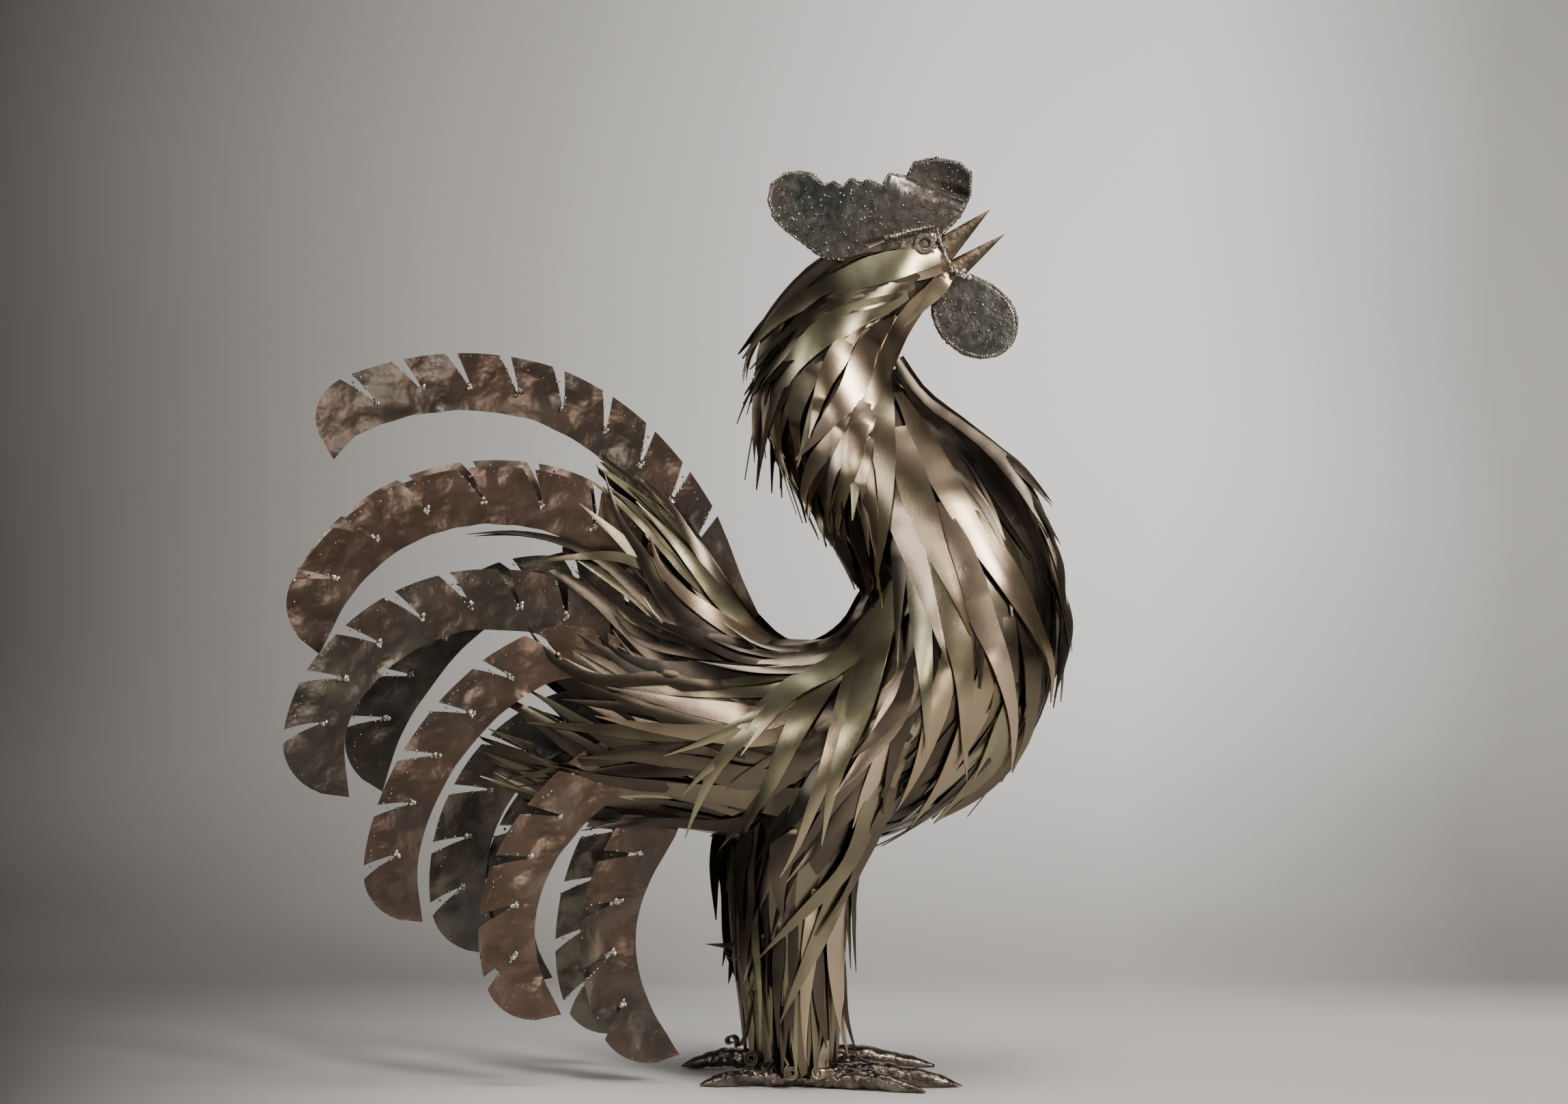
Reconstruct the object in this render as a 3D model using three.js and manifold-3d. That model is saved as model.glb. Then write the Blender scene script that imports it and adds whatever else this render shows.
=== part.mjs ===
// A crowing rooster welded up from scrap steel: tapered strips laid like feathers over the head,
// neck, body and legs, slit sickle plates for the tail, a cut comb and wattles, nuts for eyes and
// weld-built feet. Millimetres, +Z up, +X the way the rooster faces, soles at Z 0.
import * as THREE from 'three';
import { mergeVertices } from 'three/addons/utils/BufferGeometryUtils.js';
import Module from 'manifold-3d';

const wasm = await Module();
wasm.setup();

// Driving dimensions
const HEIGHT = 800; // soles to the top of the comb
const STRIP_SHEET = 1.6; // feather strips, where they stand free
const TAIL_SHEET = 2.5; // tail plates
const COMB_SHEET = 4; // comb and wattles, with their skin of weld
const CURL_SHEET = 1.2; // the thin curled offcuts at the ankles
const WELD_GAP = 0.3; // between pieces that touch
const NUT_ACROSS_FLATS = 17;
const NUT_HEIGHT = 8;
const NUT_BORE = 8.5;
const BEAK_LENGTH = 46;
const BEAK_WIDTH = 20;
const BEAK_HEIGHT = 19;
const TOE_THICKNESS = 19; // at the ball of the foot
const CLAW_THICKNESS = 2.4; // at its point
const SPUR_LENGTH = 26;
const CURL_WIDTH = 11;
const CURL_ACROSS = 17;

// The figure is drawn at 800 mm and keeps its proportions at any height.
const DRAWN_HEIGHT = 800;
const k = HEIGHT / DRAWN_HEIGHT;
const vec = (x, y, z) => new THREE.Vector3(x, y, z);
const lerp = THREE.MathUtils.lerp;
const radians = THREE.MathUtils.degToRad;
const drawnPoint = ([x, z]) => new THREE.Vector2(x * k, z * k);

// Solids from rings of points

/** Closed solid through rings of points. A ring of one point closes the end to a tip. */
function skinOf(rings) {
  const points = [];
  const faces = [];
  const starts = rings.map((ring) => {
    const start = points.length;
    points.push(...ring);
    return start;
  });
  const around = Math.max(...rings.map((ring) => ring.length));
  for (let r = 0; r + 1 < rings.length; r++) {
    const [a, b] = [rings[r].length, rings[r + 1].length];
    for (let i = 0; i < around; i++) {
      const next = (i + 1) % around;
      const p = [starts[r] + (i % a), starts[r] + (next % a)];
      const q = [starts[r + 1] + (i % b), starts[r + 1] + (next % b)];
      if (a > 1) faces.push([p[0], p[1], q[0]]);
      if (b > 1) faces.push([p[1], q[1], q[0]]);
      if (a === 1 && b > 1) faces[faces.length - 1] = [p[0], q[1], q[0]];
    }
  }
  for (const [end, flip] of [[0, true], [rings.length - 1, false]]) {
    const ring = rings[end];
    if (ring.length === 1) continue;
    const middle = points.length;
    points.push(ring.reduce((sum, p) => sum.add(p), vec(0, 0, 0)).divideScalar(ring.length));
    ring.forEach((_, i) => {
      const [p, q] = [starts[end] + i, starts[end] + ((i + 1) % ring.length)];
      faces.push(flip ? [q, p, middle] : [p, q, middle]);
    });
  }
  return solidOfFaces(points, faces);
}

/** Manifold of points and triangles, turned to face outwards. */
function solidOfFaces(points, faces) {
  const volume = faces.reduce(
    (sum, [a, b, c]) => sum + points[a].dot(points[b].clone().cross(points[c])), 0);
  const order = volume < 0 ? faces.map(([a, b, c]) => [a, c, b]) : faces;
  return new wasm.Manifold(new wasm.Mesh({
    numProp: 3,
    vertProperties: new Float32Array(points.flatMap((p) => [p.x, p.y, p.z])),
    triVerts: new Uint32Array(order.flat()),
  }));
}

/** Manifold of a three.js geometry. */
function solidOfGeometry(geometry) {
  const bare = geometry.clone();
  bare.deleteAttribute('normal');
  bare.deleteAttribute('uv');
  const merged = mergeVertices(bare, 1e-3);
  const place = merged.getAttribute('position');
  const points = Array.from({ length: place.count }, (_, i) => vec().fromBufferAttribute(place, i));
  const index = Array.from(merged.index.array);
  const faces = index.filter((_, i) => i % 3 === 0).map((_, i) => index.slice(3 * i, 3 * i + 3));
  return solidOfFaces(points, faces);
}

const joined = (solids) => solids.reduce((all, solid) => all.add(solid));
/** The main body of a solid, without the slivers that a cut leaves. */
const mainBody = (solid) =>
  solid.decompose().reduce((best, body) => (body.volume() > best.volume() ? body : best));

function geometryOf(solid) {
  const mesh = solid.getMesh();
  const geometry = new THREE.BufferGeometry();
  const points = new Float32Array(mesh.numVert * 3);
  for (let i = 0; i < mesh.numVert; i++) {
    points.set(mesh.vertProperties.subarray(i * mesh.numProp, i * mesh.numProp + 3), i * 3);
  }
  geometry.setAttribute('position', new THREE.BufferAttribute(points, 3));
  geometry.setIndex(new THREE.BufferAttribute(mesh.triVerts, 1));
  geometry.computeVertexNormals();
  return geometry;
}

// Body guide

// Back line x z, front line x z and half width, from the beak's root down the neck and round the
// breast to the root of the tail. The last two only carry the strips' tips past the body's end.
const STATIONS = [
  [229, 731, 235, 705, 15],
  [195, 724, 220, 689, 25],
  [148, 710, 198, 664, 33],
  [109, 680, 186, 634, 41],
  [84, 637, 192, 611, 48],
  [78, 583, 213, 585, 54],
  [93, 537, 249, 559, 62],
  [119, 493, 285, 528, 72],
  [140, 458, 311, 492, 82],
  [154, 428, 327, 446, 90],
  [157, 404, 331, 392, 96],
  [147, 387, 319, 334, 100],
  [130, 377, 289, 285, 101],
  [111, 373, 237, 240, 99],
  [93, 376, 167, 208, 94],
  [78, 385, 92, 203, 87],
  [63, 400, 24, 217, 79],
  [46, 425, -27, 224, 70],
  [25, 456, -74, 225, 61],
  [-2, 486, -111, 239, 52],
  [-34, 514, -148, 254, 44],
  [-72, 536, -186, 266, 36],
];
const BODY_END = 19;
const NECK_END = 5.5;

/** Smooth value of a row of stations at u. */
function along(rows, u) {
  const last = rows.length - 1;
  const i = Math.min(Math.floor(Math.max(u, 0)), last - 1);
  const t = Math.min(Math.max(u, 0), last) - i;
  const [a, b, c, d] = [i - 1, i, i + 1, i + 2].map((n) => rows[Math.min(Math.max(n, 0), last)]);
  return b.map((_, j) => 0.5 * (2 * b[j] + (c[j] - a[j]) * t
    + (2 * a[j] - 5 * b[j] + 4 * c[j] - d[j]) * t * t
    + (3 * b[j] - 3 * c[j] + d[j] - a[j]) * t * t * t));
}

/** Point of the body at station u and angle: 0 is the back line, 180 the front line. */
function bodyPoint(u, angle, side) {
  const [bx, bz, fx, fz, half] = along(STATIONS, u);
  const [c, s] = [Math.cos(radians(angle)), Math.sin(radians(angle))];
  return vec(
    (bx + fx) / 2 + ((bx - fx) / 2) * c,
    side * half * s,
    (bz + fz) / 2 + ((bz - fz) / 2) * c,
  ).multiplyScalar(k);
}

// Leg guide

// Back x, front x, middle y, half depth in y and height, from the thigh down to the ankle.
const LEG_STATIONS = [
  [108, 212, 60, 40, 300],
  [80, 200, 58, 41, 255],
  [66, 160, 55, 36, 205],
  [64, 146, 53, 32, 160],
  [67, 141, 52, 29, 110],
  [73, 139, 51, 27, 62],
  [78, 137, 50, 25, 11],
];
const LEG_TOP = 0.8;
const LEFT_LEG_BACK = -20; // the far leg stands this far behind the near one
const RIGHT = -1; // the rooster's right side is the one that faces the camera
const LEFT = 1;

/** Point of a leg at station v and angle: 0 is the back of the leg, 90 outside, 180 the front. */
function legPoint(v, angle, side) {
  const [back, front, middle, half, z] = along(LEG_STATIONS, v);
  const x = (back + front) / 2 + ((back - front) / 2) * Math.cos(radians(angle));
  const shift = side === LEFT ? LEFT_LEG_BACK : 0;
  return vec(x + shift, side * (middle + half * Math.sin(radians(angle))), z).multiplyScalar(k);
}

// Feather strips

/** Seeded random numbers from -1 to 1. */
function shaker(seed) {
  let state = seed;
  return () => {
    state = (state * 16807) % 2147483647;
    return (state / 2147483647) * 2 - 1;
  };
}

/** A strip over a guide surface: buried at its root, a ridge of sheet towards its tip. */
function strip({ surface, from, to, width, lift, side }, grow = 0) {
  const step = 0.01;
  const at = (t) => {
    const u = lerp(from[0], to[0], t);
    const angle = lerp(from[1], to[1], t);
    const point = surface(u, angle, side);
    const down = surface(u + step, angle, side).sub(surface(u - step, angle, side));
    const across = surface(u, angle + 1, side).sub(surface(u, angle - 1, side));
    return { point, out: across.cross(down).multiplyScalar(side).normalize() };
  };
  const ridge = (t) => at(t).point.addScaledVector(at(t).out, lift * t * t + 1.5 * k);
  const section = (t, share, depth) => {
    const { out } = at(t);
    const run = at(t + step).point.sub(at(t - step).point).normalize();
    const edge = run.clone().cross(out).normalize();
    const middle = ridge(t).addScaledVector(out, grow);
    const half = (width / 2) * share + 2 * grow;
    return [
      middle.clone().addScaledVector(edge, half),
      middle.clone().addScaledVector(edge, -half),
      middle.clone().addScaledVector(out, -depth - 2 * grow),
    ];
  };
  const tip = ridge(1);
  const stretch = tip.clone().sub(ridge(0.68)).setLength(6 * grow);
  const root = at(0);
  return skinOf([
    [root.point.addScaledVector(root.out, -4 * k)],
    section(0.3, 0.9, 7 * k),
    section(0.68, 1, 5 * k + STRIP_SHEET),
    [tip.add(stretch)],
  ]);
}

// Rows of strips. u and angle give the root of the first and the last strip of a row, run and
// drift how far their tips lie from there, in stations and degrees.
const NECK_ROWS = [
  { count: 4, u: [5.2, 5.0], angle: [14, 108], run: [3.6, 4.0], drift: [-4, -52], width: 33, lift: 15 },
  { count: 3, u: [3.8, 3.9], angle: [10, 125], run: [3.4, 3.8], drift: [-4, -50], width: 32, lift: 13 },
  { count: 3, u: [2.2, 2.4], angle: [10, 145], run: [3.0, 3.9], drift: [-6, -60], width: 31, lift: 10 },
  { count: 3, u: [0.7, 0.5], angle: [24, 155], run: [3.3, 4.4], drift: [-22, -68], width: 27, lift: 9 },
];
const BODY_ROWS = [
  { count: 3, u: [17.6, 17.3], angle: [22, 130], run: [3.0, 3.0], drift: [4, 0], width: 30, lift: 14 },
  { count: 2, u: [15.6, 15.4], angle: [30, 130], run: [3.4, 3.2], drift: [2, -4], width: 33, lift: 10 },
  { count: 2, u: [13.6, 13.2], angle: [24, 84], run: [3.6, 3.4], drift: [2, 6], width: 31, lift: 7 },
  { count: 2, u: [13.2, 13.4], angle: [135, 168], run: [3.0, 2.6], drift: [0, 0], width: 32, lift: 6 },
  { count: 2, u: [12.2, 11.6], angle: [98, 160], run: [2.5, 2.8], drift: [34, 0], width: 33, lift: 7 },
  { count: 2, u: [10.4, 10.8], angle: [14, 70], run: [4.2, 3.8], drift: [2, 50], width: 31, lift: 6 },
  { count: 2, u: [9.8, 9.4], angle: [100, 155], run: [3.0, 3.0], drift: [26, 0], width: 34, lift: 7 },
  { count: 3, u: [7.9, 7.4], angle: [52, 168], run: [3.6, 3.6], drift: [22, 0], width: 33, lift: 8 },
  { count: 2, u: [5.9, 5.8], angle: [108, 160], run: [3.7, 3.7], drift: [12, 0], width: 32, lift: 7 },
];
const LEG_ROWS = [
  { count: 3, u: [4.0, 4.0], angle: [10, 260], run: [1.9, 1.9], drift: [0, 0], width: 29, lift: 4 },
  { count: 4, u: [2.2, 2.2], angle: [20, 290], run: [2.5, 2.5], drift: [0, 0], width: 30, lift: 5 },
  { count: 2, u: [1.1, 0.9], angle: [60, 140], run: [2.6, 2.8], drift: [-24, -52], width: 30, lift: 8 },
];

/** The strips of a table of rows, shaken a little so that no two lie alike. */
function stripsOf(rows, surface, side, seed) {
  const shake = shaker(seed);
  return rows.flatMap(({ count, u, angle, run, drift, width, lift }) =>
    Array.from({ length: count }, (_, i) => {
      const share = i / (count - 1);
      const from = [lerp(...u, share) + 0.18 * shake(), lerp(...angle, share) + 3 * shake()];
      const to = [
        from[0] + lerp(...run, share) + 0.3 * shake(),
        from[1] + lerp(...drift, share) + 4 * shake(),
      ];
      return { surface, from, to, width: width * k, lift: (lift + 2 * shake()) * k, side };
    }));
}

const AROUND = 12;
const STATION_PITCH = 40; // at least this far from one station to the next, drawn
/** The closed form that strips are laid on, between two stations of the body. */
function bodyForm(start, end, grow = 0) {
  const steps = Math.round((end - start) * 0.8);
  const rings = Array.from({ length: steps + 1 }, (_, i) => {
    const u = lerp(start, end + grow / (STATION_PITCH * k), i / steps);
    const middle = bodyPoint(u, 90, 0);
    return Array.from({ length: AROUND }, (_, j) => {
      const angle = (360 * j) / AROUND;
      const point = bodyPoint(u, angle, RIGHT).sub(middle);
      return point.setLength(point.length() + grow).add(middle);
    });
  });
  return skinOf(rings);
}

function legForm(side, grow = 0) {
  const rows = 5;
  const last = LEG_STATIONS.length - 1;
  const rings = Array.from({ length: rows }, (_, i) => {
    const v = lerp(LEG_TOP, last, i / (rows - 1));
    const middle = legPoint(v, 0, side).add(legPoint(v, 180, side)).multiplyScalar(0.5);
    return Array.from({ length: 8 }, (_, j) => {
      const point = legPoint(v, 45 * j, side).sub(middle);
      return point.setLength(point.length() + grow).add(middle);
    });
  });
  return skinOf(rings);
}

// Tail plates

// Each plate's middle line from its root in the body to its tip, x z, with its width, how many
// slits cut its outer edge, and how far from the middle plane its root and its tip lie.
const TAIL_PLATES = {
  tail_top_sickle: {
    line: [[60, 396], [40, 428], [19, 467], [-10, 513], [-44, 551], [-82, 579], [-126, 598],
      [-181, 606], [-236, 601], [-290, 583], [-318, 556]],
    width: 50, slits: 8, root: 0, tip: 4,
  },
  tail_upper_right: {
    line: [[20, 395], [-20, 440], [-56, 471], [-90, 493], [-126, 504], [-168, 506], [-208, 500],
      [-247, 484], [-283, 456], [-311, 419], [-330, 380]],
    width: 50, slits: 6, root: -14, tip: -34,
  },
  tail_upper_left: {
    line: [[20, 400], [-22, 450], [-58, 481], [-94, 502], [-130, 512], [-172, 514], [-214, 507],
      [-254, 491], [-291, 462], [-318, 425], [-334, 392]],
    width: 48, slits: 6, root: 14, tip: 32,
  },
  tail_middle_right: {
    line: [[10, 350], [-40, 380], [-84, 401], [-118, 413], [-160, 417], [-199, 412], [-238, 396],
      [-272, 369], [-297, 336], [-309, 297], [-305, 246]],
    width: 52, slits: 7, root: -30, tip: -62,
  },
  tail_middle_left: {
    line: [[10, 370], [-34, 400], [-66, 418], [-105, 430], [-148, 427], [-186, 408], [-218, 379],
      [-248, 341], [-272, 298], [-287, 252]],
    width: 48, slits: 6, root: 30, tip: 60,
  },
  tail_lower_right: {
    line: [[0, 330], [-50, 362], [-98, 372], [-140, 355], [-171, 330], [-196, 302], [-218, 268],
      [-235, 228], [-243, 186], [-238, 140]],
    width: 45, slits: 6, root: -42, tip: -70,
  },
  tail_lower_left: {
    line: [[0, 300], [-50, 312], [-98, 310], [-131, 293], [-157, 270], [-176, 242], [-190, 209],
      [-196, 169], [-193, 136], [-180, 98]],
    width: 50, slits: 5, root: 26, tip: 44,
  },
  tail_low_right: {
    line: [[20, 262], [-20, 282], [-56, 272], [-84, 253], [-109, 226], [-128, 198], [-141, 164],
      [-145, 128], [-138, 90], [-120, 52]],
    width: 48, slits: 5, root: -44, tip: -58,
  },
  tail_low_left: {
    line: [[20, 268], [-20, 290], [-60, 284], [-92, 264], [-118, 238], [-138, 208], [-151, 172],
      [-155, 136], [-148, 100], [-134, 70]],
    width: 46, slits: 5, root: 44, tip: 56,
  },
  tail_end_right: {
    line: [[20, 262], [-10, 240], [-33, 206], [-50, 172], [-59, 135], [-57, 96], [-44, 56], [-18, 13]],
    width: 48, slits: 4, root: -22, tip: -40,
  },
  tail_end_left: {
    line: [[10, 268], [-34, 246], [-62, 206], [-77, 172], [-85, 138], [-87, 102], [-80, 66],
      [-56, 28]],
    width: 44, slits: 4, root: 24, tip: 38,
  },
};
const ROOT_WIDTH = 0.5; // share of the width that enters the body
const SLIT_DEPTH = 0.6; // share of the width
const SLIT_OPENING = 9.5;
const SLIT_BOTTOM = 1.6;
const SLIT_SLANT = 16; // how far a slit runs back towards the root on its way in

/** Outline of a plate in x z: outer edge with its slits from root to tip, then the inner edge. */
function plateOutline({ line, width, slits }, grow) {
  const curve = new THREE.CatmullRomCurve3(line.map(([x, z]) => vec(x * k, 0, z * k)));
  const length = curve.getLength();
  const full = width * k;
  const root = 0.2;
  /** Point at share s of the length, across -1 (inner edge) to 1 (outer edge). */
  const at = (s, across) => {
    const share = THREE.MathUtils.clamp(s, 0, 1);
    const middle = curve.getPointAt(share);
    const run = curve.getTangentAt(share);
    const left = vec(run.z, 0, -run.x);
    const spread = share < root ? lerp(ROOT_WIDTH, 1, share / root) : 1;
    return middle.addScaledVector(left, ((across * full) / 2) * spread + Math.sign(across) * grow)
      .addScaledVector(run, s > 0 ? 0 : -grow);
  };
  const points = [];
  const reach = 1 - full / length;
  const pitch = (reach - root) / slits;
  const opening = (SLIT_OPENING * k) / length;
  const slant = (SLIT_SLANT * k) / length;
  const bottom = (SLIT_BOTTOM * k) / length;
  points.push(at(0, 1));
  for (let n = 0; n <= slits; n++) {
    const s = root + n * pitch;
    points.push(at(s - opening / 2, 1));
    if (!grow) { // a plate's room has no slits
      points.push(at(s - slant - bottom / 2, 1 - 2 * SLIT_DEPTH));
      points.push(at(s - slant + bottom / 2, 1 - 2 * SLIT_DEPTH));
    }
    points.push(at(s + opening / 2, 1));
  }
  for (const turn of [30, 60, 80]) {
    const s = reach + (1 - reach) * Math.sin(radians(turn));
    points.push(at(s, 2 * Math.cos(radians(turn)) - 1));
  }
  const inner = 9;
  for (let n = inner; n >= 0; n--) points.push(at(n / inner, -1));
  return points;
}

/** A slit plate, flat, that leans sideways from its root to its tip. */
function tailPlate(plate, grow = 0) {
  const { line, root, tip } = plate;
  const shape = new THREE.Shape(plateOutline(plate, grow).map((p) => new THREE.Vector2(p.x, p.z)));
  const thick = TAIL_SHEET + 2 * grow;
  const geometry = new THREE.ExtrudeGeometry(shape, { depth: thick, bevelEnabled: false });
  const start = drawnPoint(line[0]);
  const reach = drawnPoint(line[line.length - 1]).sub(start);
  const place = geometry.getAttribute('position');
  for (let i = 0; i < place.count; i++) {
    const [x, z, y] = [place.getX(i), place.getY(i), place.getZ(i)];
    const away = new THREE.Vector2(x, z).sub(start).dot(reach) / reach.lengthSq();
    place.setXYZ(i, x, lerp(root, tip, away) * k + y - thick / 2, z);
  }
  return solidOfGeometry(geometry);
}

// Head

const COMB_OUTLINE = [
  [203, 722], [176, 716], [150, 711], [128, 713], [112, 725], [94, 738], [83, 750], [79, 765],
  [82, 778], [93, 787], [106, 789], [118, 786], [127, 777], [135, 780], [144, 775], [150, 783],
  [160, 778], [166, 782], [178, 776], [184, 787], [200, 785], [206, 797], [224, 800], [244, 795],
  [254, 786], [254, 768], [245, 750], [233, 738], [224, 728],
];
const COMB_FOLD = [206, 770]; // past this point the comb curls towards the rooster's right
const COMB_CURL = 16;

/** A plate cut to an outline in x z and bent sideways. bend and outline are drawn sizes. */
function bentPlate(outline, thickness, bend) {
  const shape = new THREE.Shape(outline.map(drawnPoint));
  const geometry = new THREE.ExtrudeGeometry(shape, { depth: thickness, bevelEnabled: false });
  const place = geometry.getAttribute('position');
  for (let i = 0; i < place.count; i++) {
    const [x, z, y] = [place.getX(i), place.getY(i), place.getZ(i)];
    place.setXYZ(i, x, y - thickness / 2 + bend(x / k, z / k) * k, z);
  }
  return solidOfGeometry(geometry);
}

function comb() {
  return bentPlate(COMB_OUTLINE, COMB_SHEET, (x, z) => {
    const past = Math.max(0, (x - COMB_FOLD[0]) * 0.8 + (z - COMB_FOLD[1]) * 0.6) / 50;
    return -COMB_CURL * past * past;
  });
}

const WATTLE_MIDDLE = [258, 663];
const WATTLE_WIDTH = 71;
const WATTLE_DROP = 71;
const WATTLE_LEAN = 0.1; // outwards, for each millimetre down
const WATTLES_APART = 2; // at the chin

/** A rounded plate that hangs from the chin and leans outwards. */
function wattle(side) {
  const [cx, cz] = WATTLE_MIDDLE;
  const sides = 18;
  const outline = Array.from({ length: sides }, (_, i) => {
    const turn = (2 * Math.PI * i) / sides;
    const pinch = 1 - 0.3 * Math.max(0, Math.sin(turn)) ** 3;
    return [
      cx + (WATTLE_WIDTH / 2) * Math.cos(turn) * pinch - 8 * Math.sin(turn),
      cz + (WATTLE_DROP / 2) * Math.sin(turn),
    ];
  });
  const top = cz + WATTLE_DROP / 2;
  const inner = (COMB_SHEET + WATTLES_APART) / 2 / k;
  return bentPlate(outline, COMB_SHEET, (x, z) => side * (inner + WATTLE_LEAN * (top - z)));
}

/** A folded spike from its root to its point. grow makes the room that it needs. */
function mandible({ root, slope, length, width, height }, grow = 0) {
  const start = vec(root[0] * k, 0, root[1] * k);
  const run = vec(Math.cos(radians(slope)), 0, Math.sin(radians(slope)));
  const up = vec(-run.z, 0, run.x);
  const ring = (share, size) => Array.from({ length: 8 }, (_, i) => {
    const turn = radians(45 * i);
    return start.clone().addScaledVector(run, length * share)
      .add(vec(0, ((width / 2) * size + grow) * Math.cos(turn), 0))
      .addScaledVector(up, ((height / 2) * size + grow) * Math.sin(turn));
  });
  const point = start.clone().addScaledVector(run, length + 4 * grow);
  return skinOf([ring(0, 1), ring(0.55, 0.5), [point]]);
}
const UPPER_BEAK = {
  root: [229, 719], slope: 41, length: BEAK_LENGTH + 8, width: BEAK_WIDTH, height: BEAK_HEIGHT,
};
const LOWER_BEAK = {
  root: [234, 698], slope: 36, length: BEAK_LENGTH + 14, width: BEAK_WIDTH - 2, height: BEAK_HEIGHT - 1,
};

const EYE = [214, 724.5]; // x z on the cheek
const NUT_SEAT = 19; // from the middle plane to the back of the nut
/** A nut that lies on the cheek with its bore outwards, or with a grow the pocket it sits in. */
function eyeNut(side, grow = 0) {
  const hexagon = new THREE.Shape();
  const corner = NUT_ACROSS_FLATS / Math.sqrt(3) + grow;
  for (let i = 0; i < 6; i++) {
    const turn = (i * Math.PI) / 3;
    if (i) hexagon.lineTo(corner * Math.cos(turn), corner * Math.sin(turn));
    else hexagon.moveTo(corner, 0);
  }
  if (!grow) hexagon.holes.push(new THREE.Path().absarc(0, 0, NUT_BORE / 2, 0, 2 * Math.PI, true));
  const geometry = new THREE.ExtrudeGeometry(hexagon, {
    depth: NUT_HEIGHT * (grow ? 4 : 1) + grow, bevelEnabled: false, curveSegments: 6,
  });
  geometry.rotateX(side === RIGHT ? Math.PI / 2 : -Math.PI / 2);
  geometry.translate(EYE[0] * k, side * (NUT_SEAT * k - grow), EYE[1] * k);
  return solidOfGeometry(geometry);
}

// Feet

const ANKLE_X = 108;
const ANKLE_Y = 50;
// End of each toe from the ankle: forwards, outwards from the leg, and how high it arches.
const TOES = [
  { reach: [138, 8], arch: 5, size: 1 },
  { reach: [104, 42], arch: 4, size: 0.9 },
  { reach: [98, -28], arch: 4, size: 0.9 },
  { reach: [-88, 4], arch: 4, size: 0.9 },
];

/** A toe built up of weld over rod, flat under the ankle and the claw and arched between. */
function toe({ reach, arch, size }, side, grow = 0) {
  const start = vec((ANKLE_X + (side === LEFT ? LEFT_LEG_BACK : 0)) * k, side * ANKLE_Y * k, 0);
  const end = vec(reach[0] * k, side * reach[1] * k, 0).add(start);
  const run = end.clone().sub(start).normalize();
  const across = vec(-run.y, run.x, 0);
  const ring = (share, thickness, lift) => Array.from({ length: 6 }, (_, i) => {
    const turn = radians(60 * i);
    const full = thickness + 2 * grow;
    return start.clone().lerp(end, share)
      .addScaledVector(across, 0.62 * full * Math.cos(turn))
      .add(vec(0, 0, Math.max(0, full * (0.42 + 0.62 * Math.sin(turn)) + lift)));
  });
  const thick = TOE_THICKNESS * size;
  return skinOf([
    ring(-0.08, thick * 0.9, 0),
    ring(0.22, thick, 0),
    ring(0.52, thick * 0.88, arch * k),
    ring(0.84, thick * 0.6, 0),
    ring(1, CLAW_THICKNESS, 0),
  ]);
}

const foot = (side, grow = 0) => joined(TOES.map((one) => toe(one, side, grow)));

// Thin offcuts curled up where the near foot meets its leg: middle x y z.
const OFFCUTS = {
  ankle_curl_back: [47, -66, 41],
  ankle_curl_low: [66, -70, 27],
  foot_curl: [101, -70, 15],
  foot_tube: [126, -70, 14],
};

/** A strip end rolled up into a spiral, its axis across the foot. */
function curl([x, y, z]) {
  const outline = [];
  const steps = 9;
  const turns = 1.5;
  const spiral = (i, inwards) => {
    const radius = (CURL_ACROSS / 2) * lerp(0.45, 1, i / steps) - inwards;
    const turn = (2 * Math.PI * turns * i) / steps;
    outline.push(new THREE.Vector2(radius * Math.cos(turn), radius * Math.sin(turn)));
  };
  for (let i = 0; i <= steps; i++) spiral(i, 0);
  for (let i = steps; i >= 0; i--) spiral(i, CURL_SHEET);
  const geometry = new THREE.ExtrudeGeometry(new THREE.Shape(outline), {
    depth: CURL_WIDTH, bevelEnabled: false,
  });
  geometry.rotateX(Math.PI / 2);
  geometry.translate(x * k, y * k + CURL_WIDTH / 2, z * k);
  return solidOfGeometry(geometry);
}

/** The room that a curl needs in what it lies against. */
function curlRoom([x, y, z]) {
  const geometry = new THREE.CylinderGeometry(
    CURL_ACROSS / 2 + WELD_GAP, CURL_ACROSS / 2 + WELD_GAP, CURL_WIDTH + 2 * WELD_GAP, 8);
  geometry.translate(x * k, y * k, z * k);
  return solidOfGeometry(geometry);
}

/** The spike at the back of a leg. */
function spur(side, grow = 0) {
  const back = legPoint(4.05, 0, side);
  const root = back.clone().add(vec(9 * k, 0, 0));
  const tip = back.clone().add(vec(-SPUR_LENGTH - 4 * grow, 0, SPUR_LENGTH * 0.1));
  const ring = Array.from({ length: 6 }, (_, i) => {
    const turn = radians(60 * i);
    return root.clone().add(vec(0, (3.5 + grow) * Math.cos(turn), (5 + grow) * Math.sin(turn)));
  });
  return skinOf([ring, [tip]]);
}

// Assembly. Each coat is its form with its strips, and the later pieces are cut back from it.

const SIDES = [[RIGHT, 'right'], [LEFT, 'left']];
/** A form and its strips as one solid, and the room that it takes with the welding gap. */
function coat(form, rows, surface, sides, seed) {
  const strips = sides.flatMap((side) => stripsOf(rows, surface, side, seed - side));
  const [solid, grown] = [0, WELD_GAP].map((grow) =>
    joined([form(grow), ...strips.map((s) => strip(s, grow))]));
  return [solid, solid.add(grown)];
}

const plates = Object.fromEntries(
  Object.entries(TAIL_PLATES).map(([name, plate]) => [name, tailPlate(plate)]));
const plateRoom = joined(Object.values(TAIL_PLATES).map((plate) => tailPlate(plate, WELD_GAP)));

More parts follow.
